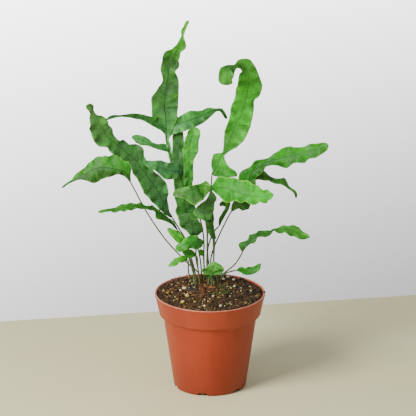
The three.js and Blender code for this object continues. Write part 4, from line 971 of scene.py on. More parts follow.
             (31, 246), (34, 251), (36.5, 256), (38.5, 261.5), (39.5, 268), (41, 275), (41.5, 281), (41, 284.5),
             (42.5, 287.5), (45.5, 289.5), (47.5, 293), (49, 298), (49.3, 301.5), (47.5, 307.5), (45.5, 313.5),
             (43, 320), (40.5, 324), (38, 327.5), (35, 328.7), (31.5, 327), (28, 327), (25.5, 324), (23, 322),
             (18, 321.8), (14.5, 321.8), (13, 320), (9.8, 319.7), (8.7, 316), (8.3, 311), (7.8, 307), (9, 303.8),
             (11, 302), (14, 301.2)],
            pitch=24, cup=0.12, hues_and_painted_light=("#88cc7c", "#78c064", "#6cb854", "#5cb040", "#60ac40", "#78a860", "#78a460"),
            left_light=0.93, right_light=1.03, bar=0.5,
        ),
    ]),
    Frond("frond_bright_front", "lime_leaf", (4, 23), [(2.4, 24, 99), (-1.4, 23.5, 115), (-2.4, 22, 138),
        (-0.9, 19.5, 164)], [
        Blade(
            [(1.5, 197.8, 12), (6, 198.6, 10.2), (10, 199, 8), (16, 198.4, 4.6), (20, 196.5, 2.4), (25, 195, -0.5),
             (30, 193, -3.4), (35, 191.3, -6.2), (40, 190.3, -8.6), (47, 190, -11.6), (55, 190.5, -14.5),
             (60.3, 191.3, -16)],
            [(2.5, 201.5), (4.8, 205), (6, 208.5), (8.5, 210.5), (10.5, 210.3), (13, 209), (16, 208.5), (20, 208.7),
             (24, 208.6), (28.5, 206), (31, 206), (35.5, 206.3), (37.5, 204.5), (40, 202.7), (42, 201.3), (45, 200.5),
             (47.5, 199), (49.5, 197), (50.5, 195.5), (52, 196), (53, 197.3), (54.5, 197), (55.5, 195.3),
             (57.5, 194.5), (59, 193)],
            [(3, 195.3), (4.5, 193.5), (6.5, 191.5), (9, 190), (11, 188), (12, 186), (14, 184), (16.5, 183),
             (18.5, 183.6), (20.5, 185), (23, 185.2), (26, 185.5), (27, 184.5), (28.5, 183), (30.5, 183),
             (31.5, 184.7), (33.5, 185.2), (35, 185), (36, 183.5), (38, 182), (41, 181.3), (43.5, 182), (45.5, 183.3),
             (47, 184.7), (48, 184.5), (49.5, 183.3), (52, 183), (54.5, 183.5), (55, 185), (55.5, 186.5),
             (57.5, 186.6), (58.8, 187.5), (59.3, 189.5)],
            wave=0.9, pitch=10.5, roll=-18, cup=0.1, hues_and_painted_light=("#3ca41c", "#4cb428", "#68d038"), right_light=1.05,
            pale_edge=0.8, bar=0.45,
        ),
        Blade(
            [(1.9, 197.4, 12), (-2, 199.8, 9), (-5.5, 200.8, 6.5), (-8.5, 200.3, 4), (-11, 199.8, 2),
             (-13.5, 198.4, -0.5), (-18.5, 195.9, -2.5), (-23, 194.6, -3), (-28.9, 193.4, -3), (-35.6, 191, -2)],
            [(0.5, 197), (-1, 195.2), (-2.5, 191.5), (-5, 188), (-8, 185.8), (-11, 184), (-13, 182), (-14.5, 179.5),
             (-16.5, 181.5), (-19, 184), (-23, 187), (-27, 189), (-31, 189), (-33.5, 189.7)],
            [(0.5, 201), (-1.5, 203.5), (-4, 206), (-5.5, 205.3), (-8, 203.3), (-11, 202), (-15, 201.3), (-17, 200.8),
             (-21, 199.5), (-26, 198.3), (-30, 197), (-33, 196), (-34.5, 194.5)],
            wave=0.5, pitch=15, roll=15, cup=0.1,
            # The first two stops paint light on a shaded part of the flap and the third paints the shade of a fold.
            hues_and_painted_light=("#e0ffc0", "#d8ffb0", "#508c3c", "#7c9c6c", "#809c6c", "#80a864"), left_light=0.85, right_light=1.3,
            pale_edge=0.7, bar=0.4,
        ),
    ]),
    Frond("frond_long_right", "fresh_green_leaf", (0.5, 29), [(1, 29, 117), (3.8, 28, 128), (12, 26, 148.5),
        (20.9, 24, 167), (28.4, 22, 178.3)], [
        Blade(
            [(35.5, 198.3, 20), (36.5, 206, 20), (39, 212, 20), (44, 217.5, 20), (51, 223, 20), (60, 226.3, 19.5),
             (70, 229, 17.8), (80, 231.5, 14.4), (90, 234.5, 10.7), (100, 237.5, 6.4), (112.4, 241, 1.5)],
            [(30, 202), (27.8, 206.5), (27.5, 210), (28, 213), (29.5, 215.2), (32, 216.8), (35.5, 218.3), (38.5, 220),
             (40, 221.8), (41.5, 224.3), (43, 226.2), (46, 226.6), (50, 227.2), (54, 228), (56.5, 229.5), (60, 232.8),
             (63, 234.3), (65.5, 236), (68, 238), (71, 239.3), (74, 240), (78, 240), (82, 239.3), (87, 239.3),
             (90, 240.2), (92.5, 242), (96, 242.8), (100, 243), (104, 243.3), (107, 244), (110, 243.7),
             (111.5, 242.5)],
            [(41, 198.5), (43, 201), (43.3, 208), (44.5, 210.3), (47.5, 212), (50, 214.3), (51.2, 216.5), (51.3, 219),
             (53.5, 220.5), (57, 221.3), (61, 221.6), (65, 221), (68, 219.5), (71, 218.4), (74, 219), (76.5, 221),
             (79, 223.3), (82, 224.1), (86, 223.7), (88.8, 223.5), (90.5, 225), (92, 227), (95, 228.4), (99, 228.7),
             (102, 229.5), (104, 231.3), (106.5, 233.7), (109, 235.5), (111.5, 238)],
            wave=1.2, pitch=21, roll=-22, cup=0.12, hues_and_painted_light=("#2f8a18", "#3a9a1c", "#64b838"), left_light=1.1,
            right_light=0.72, pale_edge=0.4, bar=0.5,
        ),
        Blade(
            [(37, 204.5, 20.5), (43, 209.5, 23), (50, 210.3, 26), (56, 208.3, 27.6), (62, 205.4, 28.8),
             (68, 205, 29.9), (72, 202.5, 30.5), (75, 199.2, 30.8), (79, 196.3, 31.1), (81.3, 193, 31.3),
             (82, 188, 31.5)],
            [(38, 209.5), (44, 214), (51.5, 216), (54, 213), (57, 210.3), (60, 208.7), (63, 207.7), (67, 207.7),
             (69.5, 208.8), (71.3, 208.8), (72.3, 206), (73.5, 203), (74.5, 200.8), (76, 199.2), (78.5, 197.4),
             (80.5, 196.2), (82.2, 194), (82.9, 191)],
            [(40, 204.5), (43.5, 207), (48, 207), (50.5, 206.3), (52.5, 205.9), (55.5, 206.2), (58, 204.8),
             (60, 203.6), (62.5, 202.7), (66, 202.7), (69, 201.5), (72, 199.9), (75, 197.3), (78, 195.2),
             (79.6, 193.4), (80.6, 191), (81.2, 188)],
            wave=0.5, pitch=13, roll=-30, hues_and_painted_light=("#587c40", "#688c48", "#7ca054"), right_light=0.9, bar=0.35,
        ),
        Blade(
            rows=[(20.5, 24.2, 166.5, 1, 1), (25.5, 20.5, 173.4, 5, 3.6), (30.5, 18, 175, 6, 5),
                  (34, 16.5, 174.3, 6, 5.4), (37, 15.3, 171.8, 1, 1)],
            wave=0.6, pitch=11, roll=-25, cup=-0.1, hues_and_painted_light=("#3c5c24", "#466a2a", "#4f7432"), right_light=0.9,
        ),
    ]),
    Frond("frond_narrow_centre_right", "deep_green_leaf", (-2.2, 30.5), [(-2.9, 28.5, 118), (-0.6, 25.5, 134),
        (4.3, 24, 146.3)], [
        Blade(
            rows=[(9, 22, 152.6, 0.9, 0.9), (10.9, 21, 160.5, 2.4, 2.4), (15.2, 19.5, 168, 2.6, 2),
                  (17.1, 18, 175.2, 2.5, 2.5), (15.6, 17, 182, 1, 1)],
            wave=0.6, pitch=9, roll=15, hues_and_painted_light=("#3f6a34", "#477538", "#7da83c"), bar=0.35,
        ),
        Blade(
            rows=[(16.2, 18.7, 173, 1, 1), (12.3, 16.5, 176.8, 2.4, 2.4), (9, 15.5, 174.6, 0.9, 0.9)],
            wave=0.3, pitch=9, roll=15, hues_and_painted_light=("#4a7d38", "#3f6f34", "#3f6f34"), bar=0.25,
        ),
    ]),
    Frond("frond_arching_right", "deep_green_leaf", (7, 41.5), [(13, 41.3, 96.8), (23, 39.5, 106), (28, 37.5, 114)], [
        Blade(
            [(31, 133.9, 36.5), (32.5, 139.5, 37), (36, 143.3, 38), (40, 146.8, 39), (44.5, 150.8, 40.3),
             (50, 152, 42), (56, 152.8, 43.5), (60.5, 156.4, 45), (66, 155.8, 46.3), (72, 157, 47.6),
             (78, 155.3, 49.3), (84, 152.5, 50.9), (90, 149.7, 52.2), (95.2, 148.6, 53)],
            [(30.5, 134.3), (29, 137.3), (27.3, 141), (28, 143), (31, 144), (34.5, 145), (36.3, 146.5), (37.2, 149.5),
             (37.8, 151.2), (40, 151), (42.5, 152.3), (45.3, 153.7), (46.3, 156), (48, 155.7), (52, 155), (56, 155.3),
             (58.5, 155.3), (60.5, 157.4), (63, 157.2), (66, 158.5), (69, 160.3), (71.3, 161.3), (73, 160),
             (75.5, 159.7), (78, 160.7), (80, 160.7), (81.5, 159.2), (83, 158.5), (85.5, 158.7), (87, 156),
             (88.5, 153.7), (91, 152.5), (93.5, 150.8)],
            [(31.7, 134), (33, 136.5), (35, 139.5), (37.5, 141.3), (40.5, 142.5), (42.5, 142.5), (43.7, 144.5),
             (43.9, 147), (44.8, 148.7), (47, 149.2), (50, 148.4), (53, 148.8), (55.5, 150), (57.5, 151.6),
             (59.2, 153.8), (60.3, 155.4), (61.5, 155), (63, 153.6), (65.5, 152.7), (68, 152.7), (70, 154),
             (71.5, 154), (73, 152), (75, 150), (77.5, 149.5), (80, 150), (82, 149), (84, 147), (86.5, 146.2),
             (90, 146.3), (92.5, 147.3)],
            wave=1.1, roll=-36, cup=0.1, hues_and_painted_light=("#44723a", "#4c7a40", "#64984c", "#94c870", "#98d070"), left_light=1.5,
            right_light=1.15, pale_edge=0.5, bar=0.45,
        ),
    ]),
    Frond("frond_low_right", "fresh_green_leaf", (9.5, 36), [(13.5, 37, 97.5), (19.5, 37.8, 100)], [
        Blade(
            [(25.5, 115, 38), (30, 114.9, 37.6), (35, 113.9, 36.7), (40, 115, 35.5), (44, 118, 34.6),
             (48.4, 121.9, 33.5)],
            [(27.5, 117.5), (29, 118.7), (31.5, 118.2), (33, 116.8), (34.5, 117), (36.5, 118.3), (40, 118.7),
             (42.5, 118.9), (44.5, 120.5), (46.5, 121.8)],
            [(27.5, 113.8), (30, 112.8), (31, 111.5), (33.5, 110.5), (37.5, 110.5), (41, 111.5), (44, 112.8),
             (46.5, 114.5), (47.5, 117), (48.3, 120)],
            wave=0.7, pitch=10, roll=-26, cup=0.15, hues_and_painted_light=("#529834", "#5eb43c", "#6ccc48"), left_light=1.05,
            right_light=0.8, bar=0.35,
        ),
    ]),
    Frond("frond_small_front", "fresh_green_leaf", (0.5, 18.5), [(1.6, 17.5, 96)], [
        Blade(
            [(2.2, 107, 15), (1.9, 110.7, 12), (2.2, 114.7, 9), (2.8, 118.2, 7), (4.3, 121.5, 5.5), (5.2, 124, 4.5)],
            [(-1, 107.3), (-4, 109), (-7, 112.5), (-9, 115.5), (-7.5, 117.3), (-4.5, 117.8), (-2, 119), (-0.5, 121.5),
             (2, 123)],
            [(4, 109.5), (5.5, 111.3), (8.5, 110.5), (10.5, 112), (12.5, 114), (14, 116.8), (12, 119.5), (9, 122),
             (6.3, 124)],
            wave=0.5, pitch=12, cup=0.1, hues_and_painted_light=("#9cb88c", "#a4c494", "#a8cc90"), left_light=1.3, right_light=1.1,
            pale_edge=0.5, bar=0.35,
        ),
    ]),
    Frond("frond_small_low_left", "lime_leaf", (-17.5, 29), [(-20.4, 25, 104)], [
        Blade(
            [(-21.5, 126, 20), (-26, 126.6, 18), (-31, 125, 16), (-35, 122.2, 14.6), (-39.6, 118.9, 13.5)],
            [(-22, 124), (-24.5, 124.3), (-26.5, 123), (-29.5, 123), (-31, 121.5), (-33, 119.5), (-36, 119)],
            [(-21.3, 127.8), (-23.5, 130), (-25.5, 130), (-28.5, 129), (-31, 128), (-33.5, 127.5), (-34.5, 124.8),
             (-37, 124), (-38.5, 121.5)],
            wave=1.1, pitch=7, roll=30, hues_and_painted_light=("#70b03c", "#84c84c", "#a0e060"), left_light=1.3, right_light=1.5,
            pale_edge=0.6,
        ),
    ]),
    Frond("frond_small_light", "lime_leaf", (-13.5, 19), [(-15.6, 18, 104), (-19.4, 15.5, 120)], [
        Blade(
            [(-24.6, 142.9, 12), (-28.4, 147.3, 10.5), (-33.7, 151.9, 9), (-37.9, 155.6, 8), (-40.7, 157.7, 7.5)],
            [(-25.5, 141.5), (-30, 142.5), (-31.5, 144), (-33, 145.8), (-35.5, 148.5), (-38, 151.5), (-40, 154.5)],
            [(-23.8, 145), (-25, 148.5), (-26.5, 150.5), (-29.5, 153.5), (-33, 156), (-37.5, 158)],
            wave=0.8, pitch=9, roll=10, cup=0.15, hues_and_painted_light=("#5ca038", "#76c048", "#98d868"), left_light=1.3,
            right_light=1.15, pale_edge=0.8,
        ),
    ]),
    Frond("frond_small_folded", "lime_leaf", (-5.8, 27), [(-5.7, 21, 110), (-6.2, 16, 124)], [
        Blade(
            [(-6.3, 143.5, 12), (-10.9, 143.3, 9), (-18, 143.5, 6), (-24.6, 141, 4), (-29.4, 138, 3),
             (-33.1, 137, 2.5)],
            [(-7, 142), (-8, 140), (-10, 137.5), (-13, 136), (-16, 137), (-19, 138), (-22, 136), (-26, 134.5),
             (-29.5, 133.8), (-31.5, 134.5)],
            [(-6, 145), (-8, 147), (-10.5, 147.5), (-11, 150), (-13.5, 150.5), (-19.5, 150.3), (-22, 148),
             (-24.5, 147), (-27, 144.5), (-30, 141.5), (-32.5, 140.5)],
            wave=1.3, pitch=9, roll=25, cup=-0.15, hues_and_painted_light=("#3f7a40", "#4c9044", "#8cd05c"), left_light=1.15,
            right_light=1.45, pale_edge=0.8, bar=0.35,
        ),
        Blade(
            rows=[(-6.2, 16, 124, 0.9, 0.9), (-8.1, 14.5, 128, 3.2, 3), (-9.5, 13.5, 131.5, 0.9, 0.9)],
            wave=0.4, pitch=8, hues_and_painted_light=("#70b850", "#74bc54", "#84cc5c"), bar=0.25,
        ),
    ]),
    Frond("frond_small_dark", "deep_green_leaf", (-9.5, 22), [(-11.3, 18.5, 109)], [
        Blade(
            rows=[(-13.3, 15, 125, 1, 1), (-18, 12.5, 127, 4, 4), (-22.3, 11, 129, 3.5, 3),
                  (-26.5, 10, 131, 0.9, 0.9)],
            wave=0.4, pitch=10, roll=20, hues_and_painted_light=("#60a04c", "#68a854", "#74b45c"),
        ),
    ]),
    Frond("frond_dark_centre", "deep_green_leaf", (-2, 22), [(-1.2, 21, 99), (-2.5, 19, 113), (-2.7, 15, 130.5),
        (-2.9, 11, 150)], [
        Blade(
            [(-4.3, 164.9, 9), (-5.6, 171.2, 8), (-5, 178.2, 7.6), (-2, 185.8, 7.4), (0.8, 191.3, 7.4),
             (1.2, 196, 7.4)],
            [(-5.5, 165.2), (-7, 166.5), (-10, 167.5), (-12.5, 169.5), (-16.5, 172), (-14.5, 176), (-12, 180),
             (-9.5, 183), (-6.5, 184.6), (-3.6, 186.2), (-1.8, 189), (-0.8, 192.5)],
            [(3.5, 166), (1.8, 168), (1.7, 170), (2.5, 172.5), (3.7, 177), (3.8, 181), (4.5, 184), (6.3, 187),
             (6.5, 189.5), (4, 192.5)],
            wave=0.7, cup=-0.1, hues_and_painted_light=("#6c8c74", "#5c7c64", "#647f62"), left_light=1.05, right_light=0.9, pale_edge=0.3,
            bar=0.4,
        ),
    ]),
    Frond("frond_blue_centre", "blue_green_leaf", (-10, 31.5), [(-10.6, 27, 102), (-13.3, 22, 119)], [
        Blade(
            [(-13.3, 149.5, 15), (-15.2, 154.5, 13.5), (-17, 160.6, 12), (-19.5, 166.6, 11), (-21.3, 170.8, 10.5),
             (-22, 173, 10)],
            [(-15, 149.8), (-19, 151), (-20.5, 153.5), (-24, 156), (-27, 158), (-29.5, 161), (-29, 164), (-31, 170),
             (-30.5, 172.8)],
            [(-12, 150.3), (-9, 152), (-6.5, 153.7), (-6, 155.5), (-7.5, 159), (-9.5, 163), (-11, 166), (-12, 169),
             (-14, 172.5)],
            wave=0.6, pitch=15, cup=0.06, hues_and_painted_light=("#587c6c", "#567660", "#62886e"), left_light=1.05, right_light=0.95,
            pale_edge=0.4, bar=0.4,
        ),
    ]),
    Frond("frond_upright_centre", "deep_green_leaf", (8, 25.5), [(5.5, 22, 104), (3.6, 19.5, 118)], [
        Blade(
            rows=[(4.3, 17, 140.3, 1.8, 1.8), (2.4, 16.5, 148, 4, 2.2), (0.5, 16, 156.3, 4.5, 3),
                  (-0.9, 15, 165.7, 4, 4.5), (-2.8, 14, 175, 1, 1)],
            wave=0.7, pitch=11, roll=10, hues_and_painted_light=("#45702f", "#446c30", "#3c6428"), right_light=0.85, bar=0.35,
        ),
    ]),
]


# Pot

RIM_RADIUS = 52.5
POT_HEIGHT = 93.0
SHARP = math.radians(38)  # faces that meet at more than this have a sharp edge


@dataclass
class Pot:
    """Thin injection-moulded nursery pot with a deep collar and drain slots in its bottom corner."""

    collar_foot: float = 73.0
    shoulder: float = 70.5
    shoulder_radius: float = 48.3
    body_top: float = 44.4
    body_foot: float = 34.5
    base_radius: float = 33.3
    base_round: float = 3.0
    wall: float = 1.2
    floor: float = 1.4
    sides: int = 132
    slots: int = 6
    first_slot: float = -12.0
    slot_width: float = 9.5
    slot_height: float = 2.8
    slot_inner: float = 27.0
    slot_round: float = 1.1
    slot_foot: float = -3.0  # the cut begins under the base

    def body_radius(self, height: float) -> float:
        """Radius of the tapered body at a height."""
        share = (height - self.base_round) / (self.shoulder - self.base_round)
        return self.body_foot + (self.body_top - self.body_foot) * share

    def inner(self, inset: float) -> list[Spot]:
        """The inner wall from the rim down to the floor, moved in by a distance."""
        return [
            (RIM_RADIUS - 0.9 - self.wall - inset, POT_HEIGHT - 1.2),
            (self.shoulder_radius - self.wall - inset, self.collar_foot + 0.8),
            (self.body_top - self.wall - inset, self.shoulder - 0.2),
            (self.body_radius(self.floor) - self.wall - inset, self.floor + inset),
        ]

    def outside(self) -> list[Spot]:
        """The outer wall from the middle of the base up to the lip."""
        base, body, neck, rim = self.base_radius, self.body_top, self.shoulder_radius, RIM_RADIUS
        shoulder, foot = self.shoulder, self.collar_foot
        bands = [(self.body_radius(z), z) for z in np.linspace(self.base_round, shoulder - 1.2, 16)]
        collar = [(neck + (rim - 0.72 - neck) * t, 73.9 + 15.6 * t) for t in np.linspace(0, 1, 8)]
        return [
            (0, 0), (14, 0), (26, 0), (base - 1.4, 0), (base - 0.3, 0.12), (base + 0.35, 0.5), (base + 0.8, 1.2),
            *bands,
            (body - 0.05, shoulder - 0.35), (body + 0.25, shoulder - 0.02), (body + 0.9, shoulder + 0.42),
            (neck - 1.3, foot - 1.2), (neck - 0.45, foot - 0.6), (neck - 0.08, foot + 0.1),
            *collar,
            (rim - 0.55, 90.3), (rim - 0.14, 90.9), (rim, 91.6), (rim - 0.05, 92.3), (rim - 0.35, 92.8),
            (rim - 0.85, POT_HEIGHT), (rim - 1.4, 92.85), (rim - 1.8, 92.4),
        ]

    def inside(self) -> list[Spot]:
        """The inner wall from the lip down to the middle of the floor."""
        top, collar, neck, foot = self.inner(0)
        steps = np.linspace(0.1, 0.97, 10)
        return [
            top, (top[0] * 0.5 + collar[0] * 0.5, 83), collar, (collar[0] - 0.5, self.collar_foot + 0.2),
            (neck[0] + 0.4, self.shoulder + 0.2), neck,
            *[(neck[0] + (foot[0] - neck[0]) * t, neck[1] + (foot[1] - neck[1]) * t) for t in steps],
            (foot[0] - 1.2, self.floor), (self.slot_inner - 1, self.floor), (12, self.floor), (0, self.floor),
        ]

    def build(self, material: bpy.types.Material) -> bpy.types.Object:
        """Make the pot with its slots cut.

        Args:
            material: its plastic.

        Returns:
            The piece.
        """
        gather, cutters = Gather(), Gather()
        gather.add(*turned([*self.outside(), *self.inside()], self.sides))
        piece = gather.build("nursery_pot", [material])
        for n in range(self.slots):
            cutters.add(*self._slot_block(math.radians(self.first_slot + 360 * n / self.slots)))
        cutter = cutters.build("slot_cutter", [material])
        cut = piece.modifiers.new("slots", "BOOLEAN")
        cut.operation, cut.solver, cut.object = "DIFFERENCE", "EXACT", cutter
        apply_all(piece)
        bpy.data.objects.remove(cutter)
        return settle(piece, "pot_plastic", "pot")

    def _slot_block(self, turn: float) -> Shape:
        """Make a block with a rounded top that cuts one slot.

        Args:
            turn: its angle round the pot's axis.

        Returns:
            Points and faces.
        """
        half, top, curve = self.slot_width / 2, self.slot_height, self.slot_round
        angles = np.linspace(0, math.pi / 2, 5)
        arc = [(half - curve + curve * math.cos(a), top - curve + curve * math.sin(a)) for a in angles]
        foot = self.slot_foot
        outline = [(half, foot), *arc, *[(-x, z) for x, z in reversed(arc)], (-half, foot)]
        points = [(x, y, z) for y in (-self.slot_inner, -RIM_RADIUS) for x, z in outline]
        count = len(outline)
        faces = [(k, (k + 1) % count, count + (k + 1) % count, count + k) for k in range(count)]
        faces += [tuple(reversed(range(count))), tuple(range(count, 2 * count))]
        return np.array(points) @ np.array(Matrix.Rotation(turn, 3, "Z")).T, faces


def apply_all(piece: bpy.types.Object) -> None:
    """Apply a piece's modifiers, keep its materials and mark its sharp edges."""
    graph = bpy.context.evaluated_depsgraph_get()
    made = bpy.data.meshes.new_from_object(piece.evaluated_get(graph))
    piece.modifiers.clear()
    old, piece.data = piece.data, made
    bpy.data.meshes.remove(old)
    made.polygons.foreach_set("use_smooth", [True] * len(made.polygons))
    made.set_sharp_from_angle(angle=SHARP)


@dataclass(frozen=True)
class PotFinish:
    """Satin terracotta-coloured plastic with faint flow marks, fine texture, dust and rubbed edges, a painted
    highlight along the lip, painted light on the collar and painted shade towards the base.
    """

    colour: str = "#a43a1e"
    dark: str = "#943019"
    mark: str = "#993319"
    rubbed: str = "#cf7446"
    # Painted highlight along the top of the lip.
    lip: str = "#e6a080"
    scuff: str = "#7a3a24"
    dust: str = "#8a6248"
    # Painted shade that darkens the body towards the base.
    foot: str = "#6e2410"
    # Painted light on the collar.
    collar: str = "#cf8a6e"

    def material(self) -> bpy.types.Material:
        """Make the plastic."""
        tree = Tree("pot_plastic_satin")
        place = tree.place()
        z = place.parts()[2]
        flow = tree.cloud(tree.scaled(place, (1.0, 1.0, 0.25)), 38.0, 3.0, 0.6)
        grain = tree.cloud(place, 2600.0, 2.0, 0.6)
        marks = tree.cloud(place, 210.0, 4.0, 0.7)
        rub = tree.cloud(tree.scaled(place, (1.0, 1.0, 14.0)), 90.0, 5.0, 0.75).ease(0.62, 0.7)
        dust = marks.ease(0.56, 0.74) * z.ease(0.02, 0.0, 0.25, 1.0)
        colour = tree.cover(
            tree.mix(flow.ease(0.35, 0.7), self.colour, self.dark),
            (marks.ease(0.45, 0.62) * 0.35, self.mark),
            (rub * 0.25, self.rubbed),
            # Painted highlight: a pale band round the top of the lip.
            (z.ease(0.0920, 0.0927) * marks.ease(0.3, 0.55, 0.3, 1.0) * 0.7, self.lip),
            (z.ease(0.012, 0.0) * marks.ease(0.4, 0.6) * 0.45, self.scuff),
            (dust * 0.22, self.dust),
            # Painted shade: the body darkens towards the base.
            (z.ease(0.055, 0.0) * 0.45, self.foot),
            # Painted light: the collar band is made a little lighter.
            (z.ease(0.072, 0.074) * 0.04, self.collar),
        )
        rough = flow * 0.1 + 0.36 + rub * 0.12 + dust * 0.15 + grain * 0.04
        normal = tree.relief(grain * 0.35 + flow * 0.3, 0.00005)
        return tree.surface(Base_Color=colour, Roughness=rough, Normal=normal, Specular_IOR_Level=0.35)


# Soil

SOIL_EDGE = 91.3
SOIL_CROWN = 1.2
SOIL_LUMP = 0.55
SOIL_INSET = 0.45


def soil_face(x: float, y: float) -> float:
    """Height of the soil's top, as in the part's source, with its crumbs and pits."""
    share = math.hypot(x, y) / RIM_RADIUS
    lumps = math.sin(x / 3.1 + 1) * math.sin(y / 3.7) + 0.6 * math.sin((x - y) / 5.3 + 2)
    crumbs = noise.fractal(Vector((x * 0.45, y * 0.45, 1.7)), 0.9, 2.1, 4)
    pits = noise.noise(Vector((x * 0.9, y * 0.9, 8.1)))
    return SOIL_EDGE + SOIL_CROWN * (1 - share * share) + SOIL_LUMP * lumps + 0.42 * crumbs + 0.28 * pits


class Crumb(Enum):
    """Kinds of loose matter on the soil, with the tones of each."""

    PEAT = ("#0d0804", "#6c4a22")
    BARK = ("#3a2010", "#8a5829")
    STRAW = ("#8e6e2a", "#e2c860")
    PERLITE = ("#ecd860", "#fffce0")
    MOSS = ("#1e3a10", "#5c8a18")
    SCALE = ("#220c06", "#b87848")
    SLATE = ("#101214", "#2a2d30")


UNEVEN = 0.26  # how far a grain's points stray, as a share of its size
MOSS_HALF = 0.16  # half the foot of a shoot of moss


@cache
def ball(level: int) -> Shape:
    """Make a round ball of triangles, once for each level of fineness."""
    made = bmesh.new()
    bmesh.ops.create_icosphere(made, subdivisions=level, radius=1.0)
    shape = np.array([tuple(v.co) for v in made.verts]), [tuple(v.index for v in f.verts) for f in made.faces]
    made.free()
    return shape


class Litter(Gather):
    """A mesh of loose bits, each in one tone of its kind."""

    def __init__(self, rng: np.random.Generator) -> None:
        """Start empty, with the place that irregularities come from."""
        super().__init__()
        self.rng = rng

    def size(self, least: float, spread: float, power: float) -> float:
        """A random size; a high power makes large ones rare."""
        return least + spread * self.rng.random() ** power

    def tone(self, kind: Crumb, count: int) -> np.ndarray:
        """Pick one colour of a kind for all of a shape's points."""
        low, high = (np.array(paint(code)) for code in kind.value)
        return np.tile(low + (high - low) * self.rng.random(), (count, 1))

    def lump(self, place: Point, size: float, kind: Crumb, shape: Point, level: int = 1) -> None:
        """Add one uneven grain.

        Args:
            place: its middle.
            size: its half length in millimetres.
            kind: what it is.
            shape: its length, width and height as shares of the size.
            level: fineness.
        """
        points, faces = ball(level)
        uneven = points * (1 + UNEVEN * (self.rng.random((len(points), 1)) - 0.5) * 2)
        spin = Matrix.Rotation(self.rng.random() * 6.3, 3, "Z")
        tilt = spin @ Matrix.Rotation((self.rng.random() - 0.5) * 0.9, 3, "X")
        uneven = (uneven * np.array(shape) * size) @ np.array(tilt).T + np.array(place)
        self.add(uneven, faces, 0, grain_hue=self.tone(kind, len(points)))

    def drop(self, spot: Spot, size: float, lift: float, kind: Crumb, shape: Point, level: int = 1) -> None:
        """Lay one uneven grain on the soil.

        Args:
            spot: where it lies.
            size: its half length in millimetres.
            lift: height of its middle over the soil, as a share of the size.
            kind: what it is.
            shape: its length, width and height as shares of the size.
            level: fineness.
        """
        self.lump((*spot, soil_face(*spot) + lift * size), size, kind, shape, level)

    def fibre(self, x: float, y: float, reach: float = 48.0) -> None:
        """Add one curved fibre that lies on the soil.

        Args:
            x: where it begins.
            y: where it begins.
            reach: how far from the pot's axis it may come.
        """
        rng = self.rng
        angle, length = rng.random() * ROUND, 2 + 7 * rng.random()
        bend = (rng.random() - 0.5) * 1.6
        route = []
        for t in np.linspace(0, 1, 7):
            heading = angle + bend * t
            px, py = x + length * t * math.cos(heading), y + length * t * math.sin(heading)
            radius = math.hypot(px, py)
            if radius > reach:
                px, py = px * reach / radius, py * reach / radius
            route.append((px, py, soil_face(px, py) + 0.18 + 0.35 * math.sin(math.pi * t) * rng.random()))
        radii = np.linspace(0.16, 0.07, 7) * (0.6 + rng.random())
        points, faces = tube(np.array(route), radii, 4)
        kind = Crumb.STRAW if rng.random() < 0.25 else Crumb.BARK
        self.add(points, faces, 0, grain_hue=self.tone(kind, len(points)))

    def shoot(self, x: float, y: float, tall: float) -> None:
        """Add one three-sided pointed shoot of moss.

        Args:
            x: where it stands.
            y: where it stands.
            tall: its height.
        """
        lean = (self.rng.random(2) - 0.5) * 0.9
        z, angle = soil_face(x, y) - 0.1, self.rng.random() * 2
        ring = [(MOSS_HALF * math.cos(angle + a), MOSS_HALF * math.sin(angle + a)) for a in (0, 2.1, 4.2)]
        points = [(x + a, y + b, z) for a, b in ring]
        points += [
            (x + 1.4 * a + lean[0] * tall / 2, y + 1.4 * b + lean[1] * tall / 2, z + 0.55 * tall) for a, b in ring
        ]
        points.append((x + lean[0] * tall, y + lean[1] * tall, z + tall))
        faces = [(0, 2, 1)]
        for k, n in ((0, 1), (1, 2), (2, 0)):
            faces += [(k, n, 3 + n, 3 + k), (3 + k, 3 + n, 6)]
        self.add(np.array(points), faces, 0, grain_hue=self.tone(Crumb.MOSS, 7))


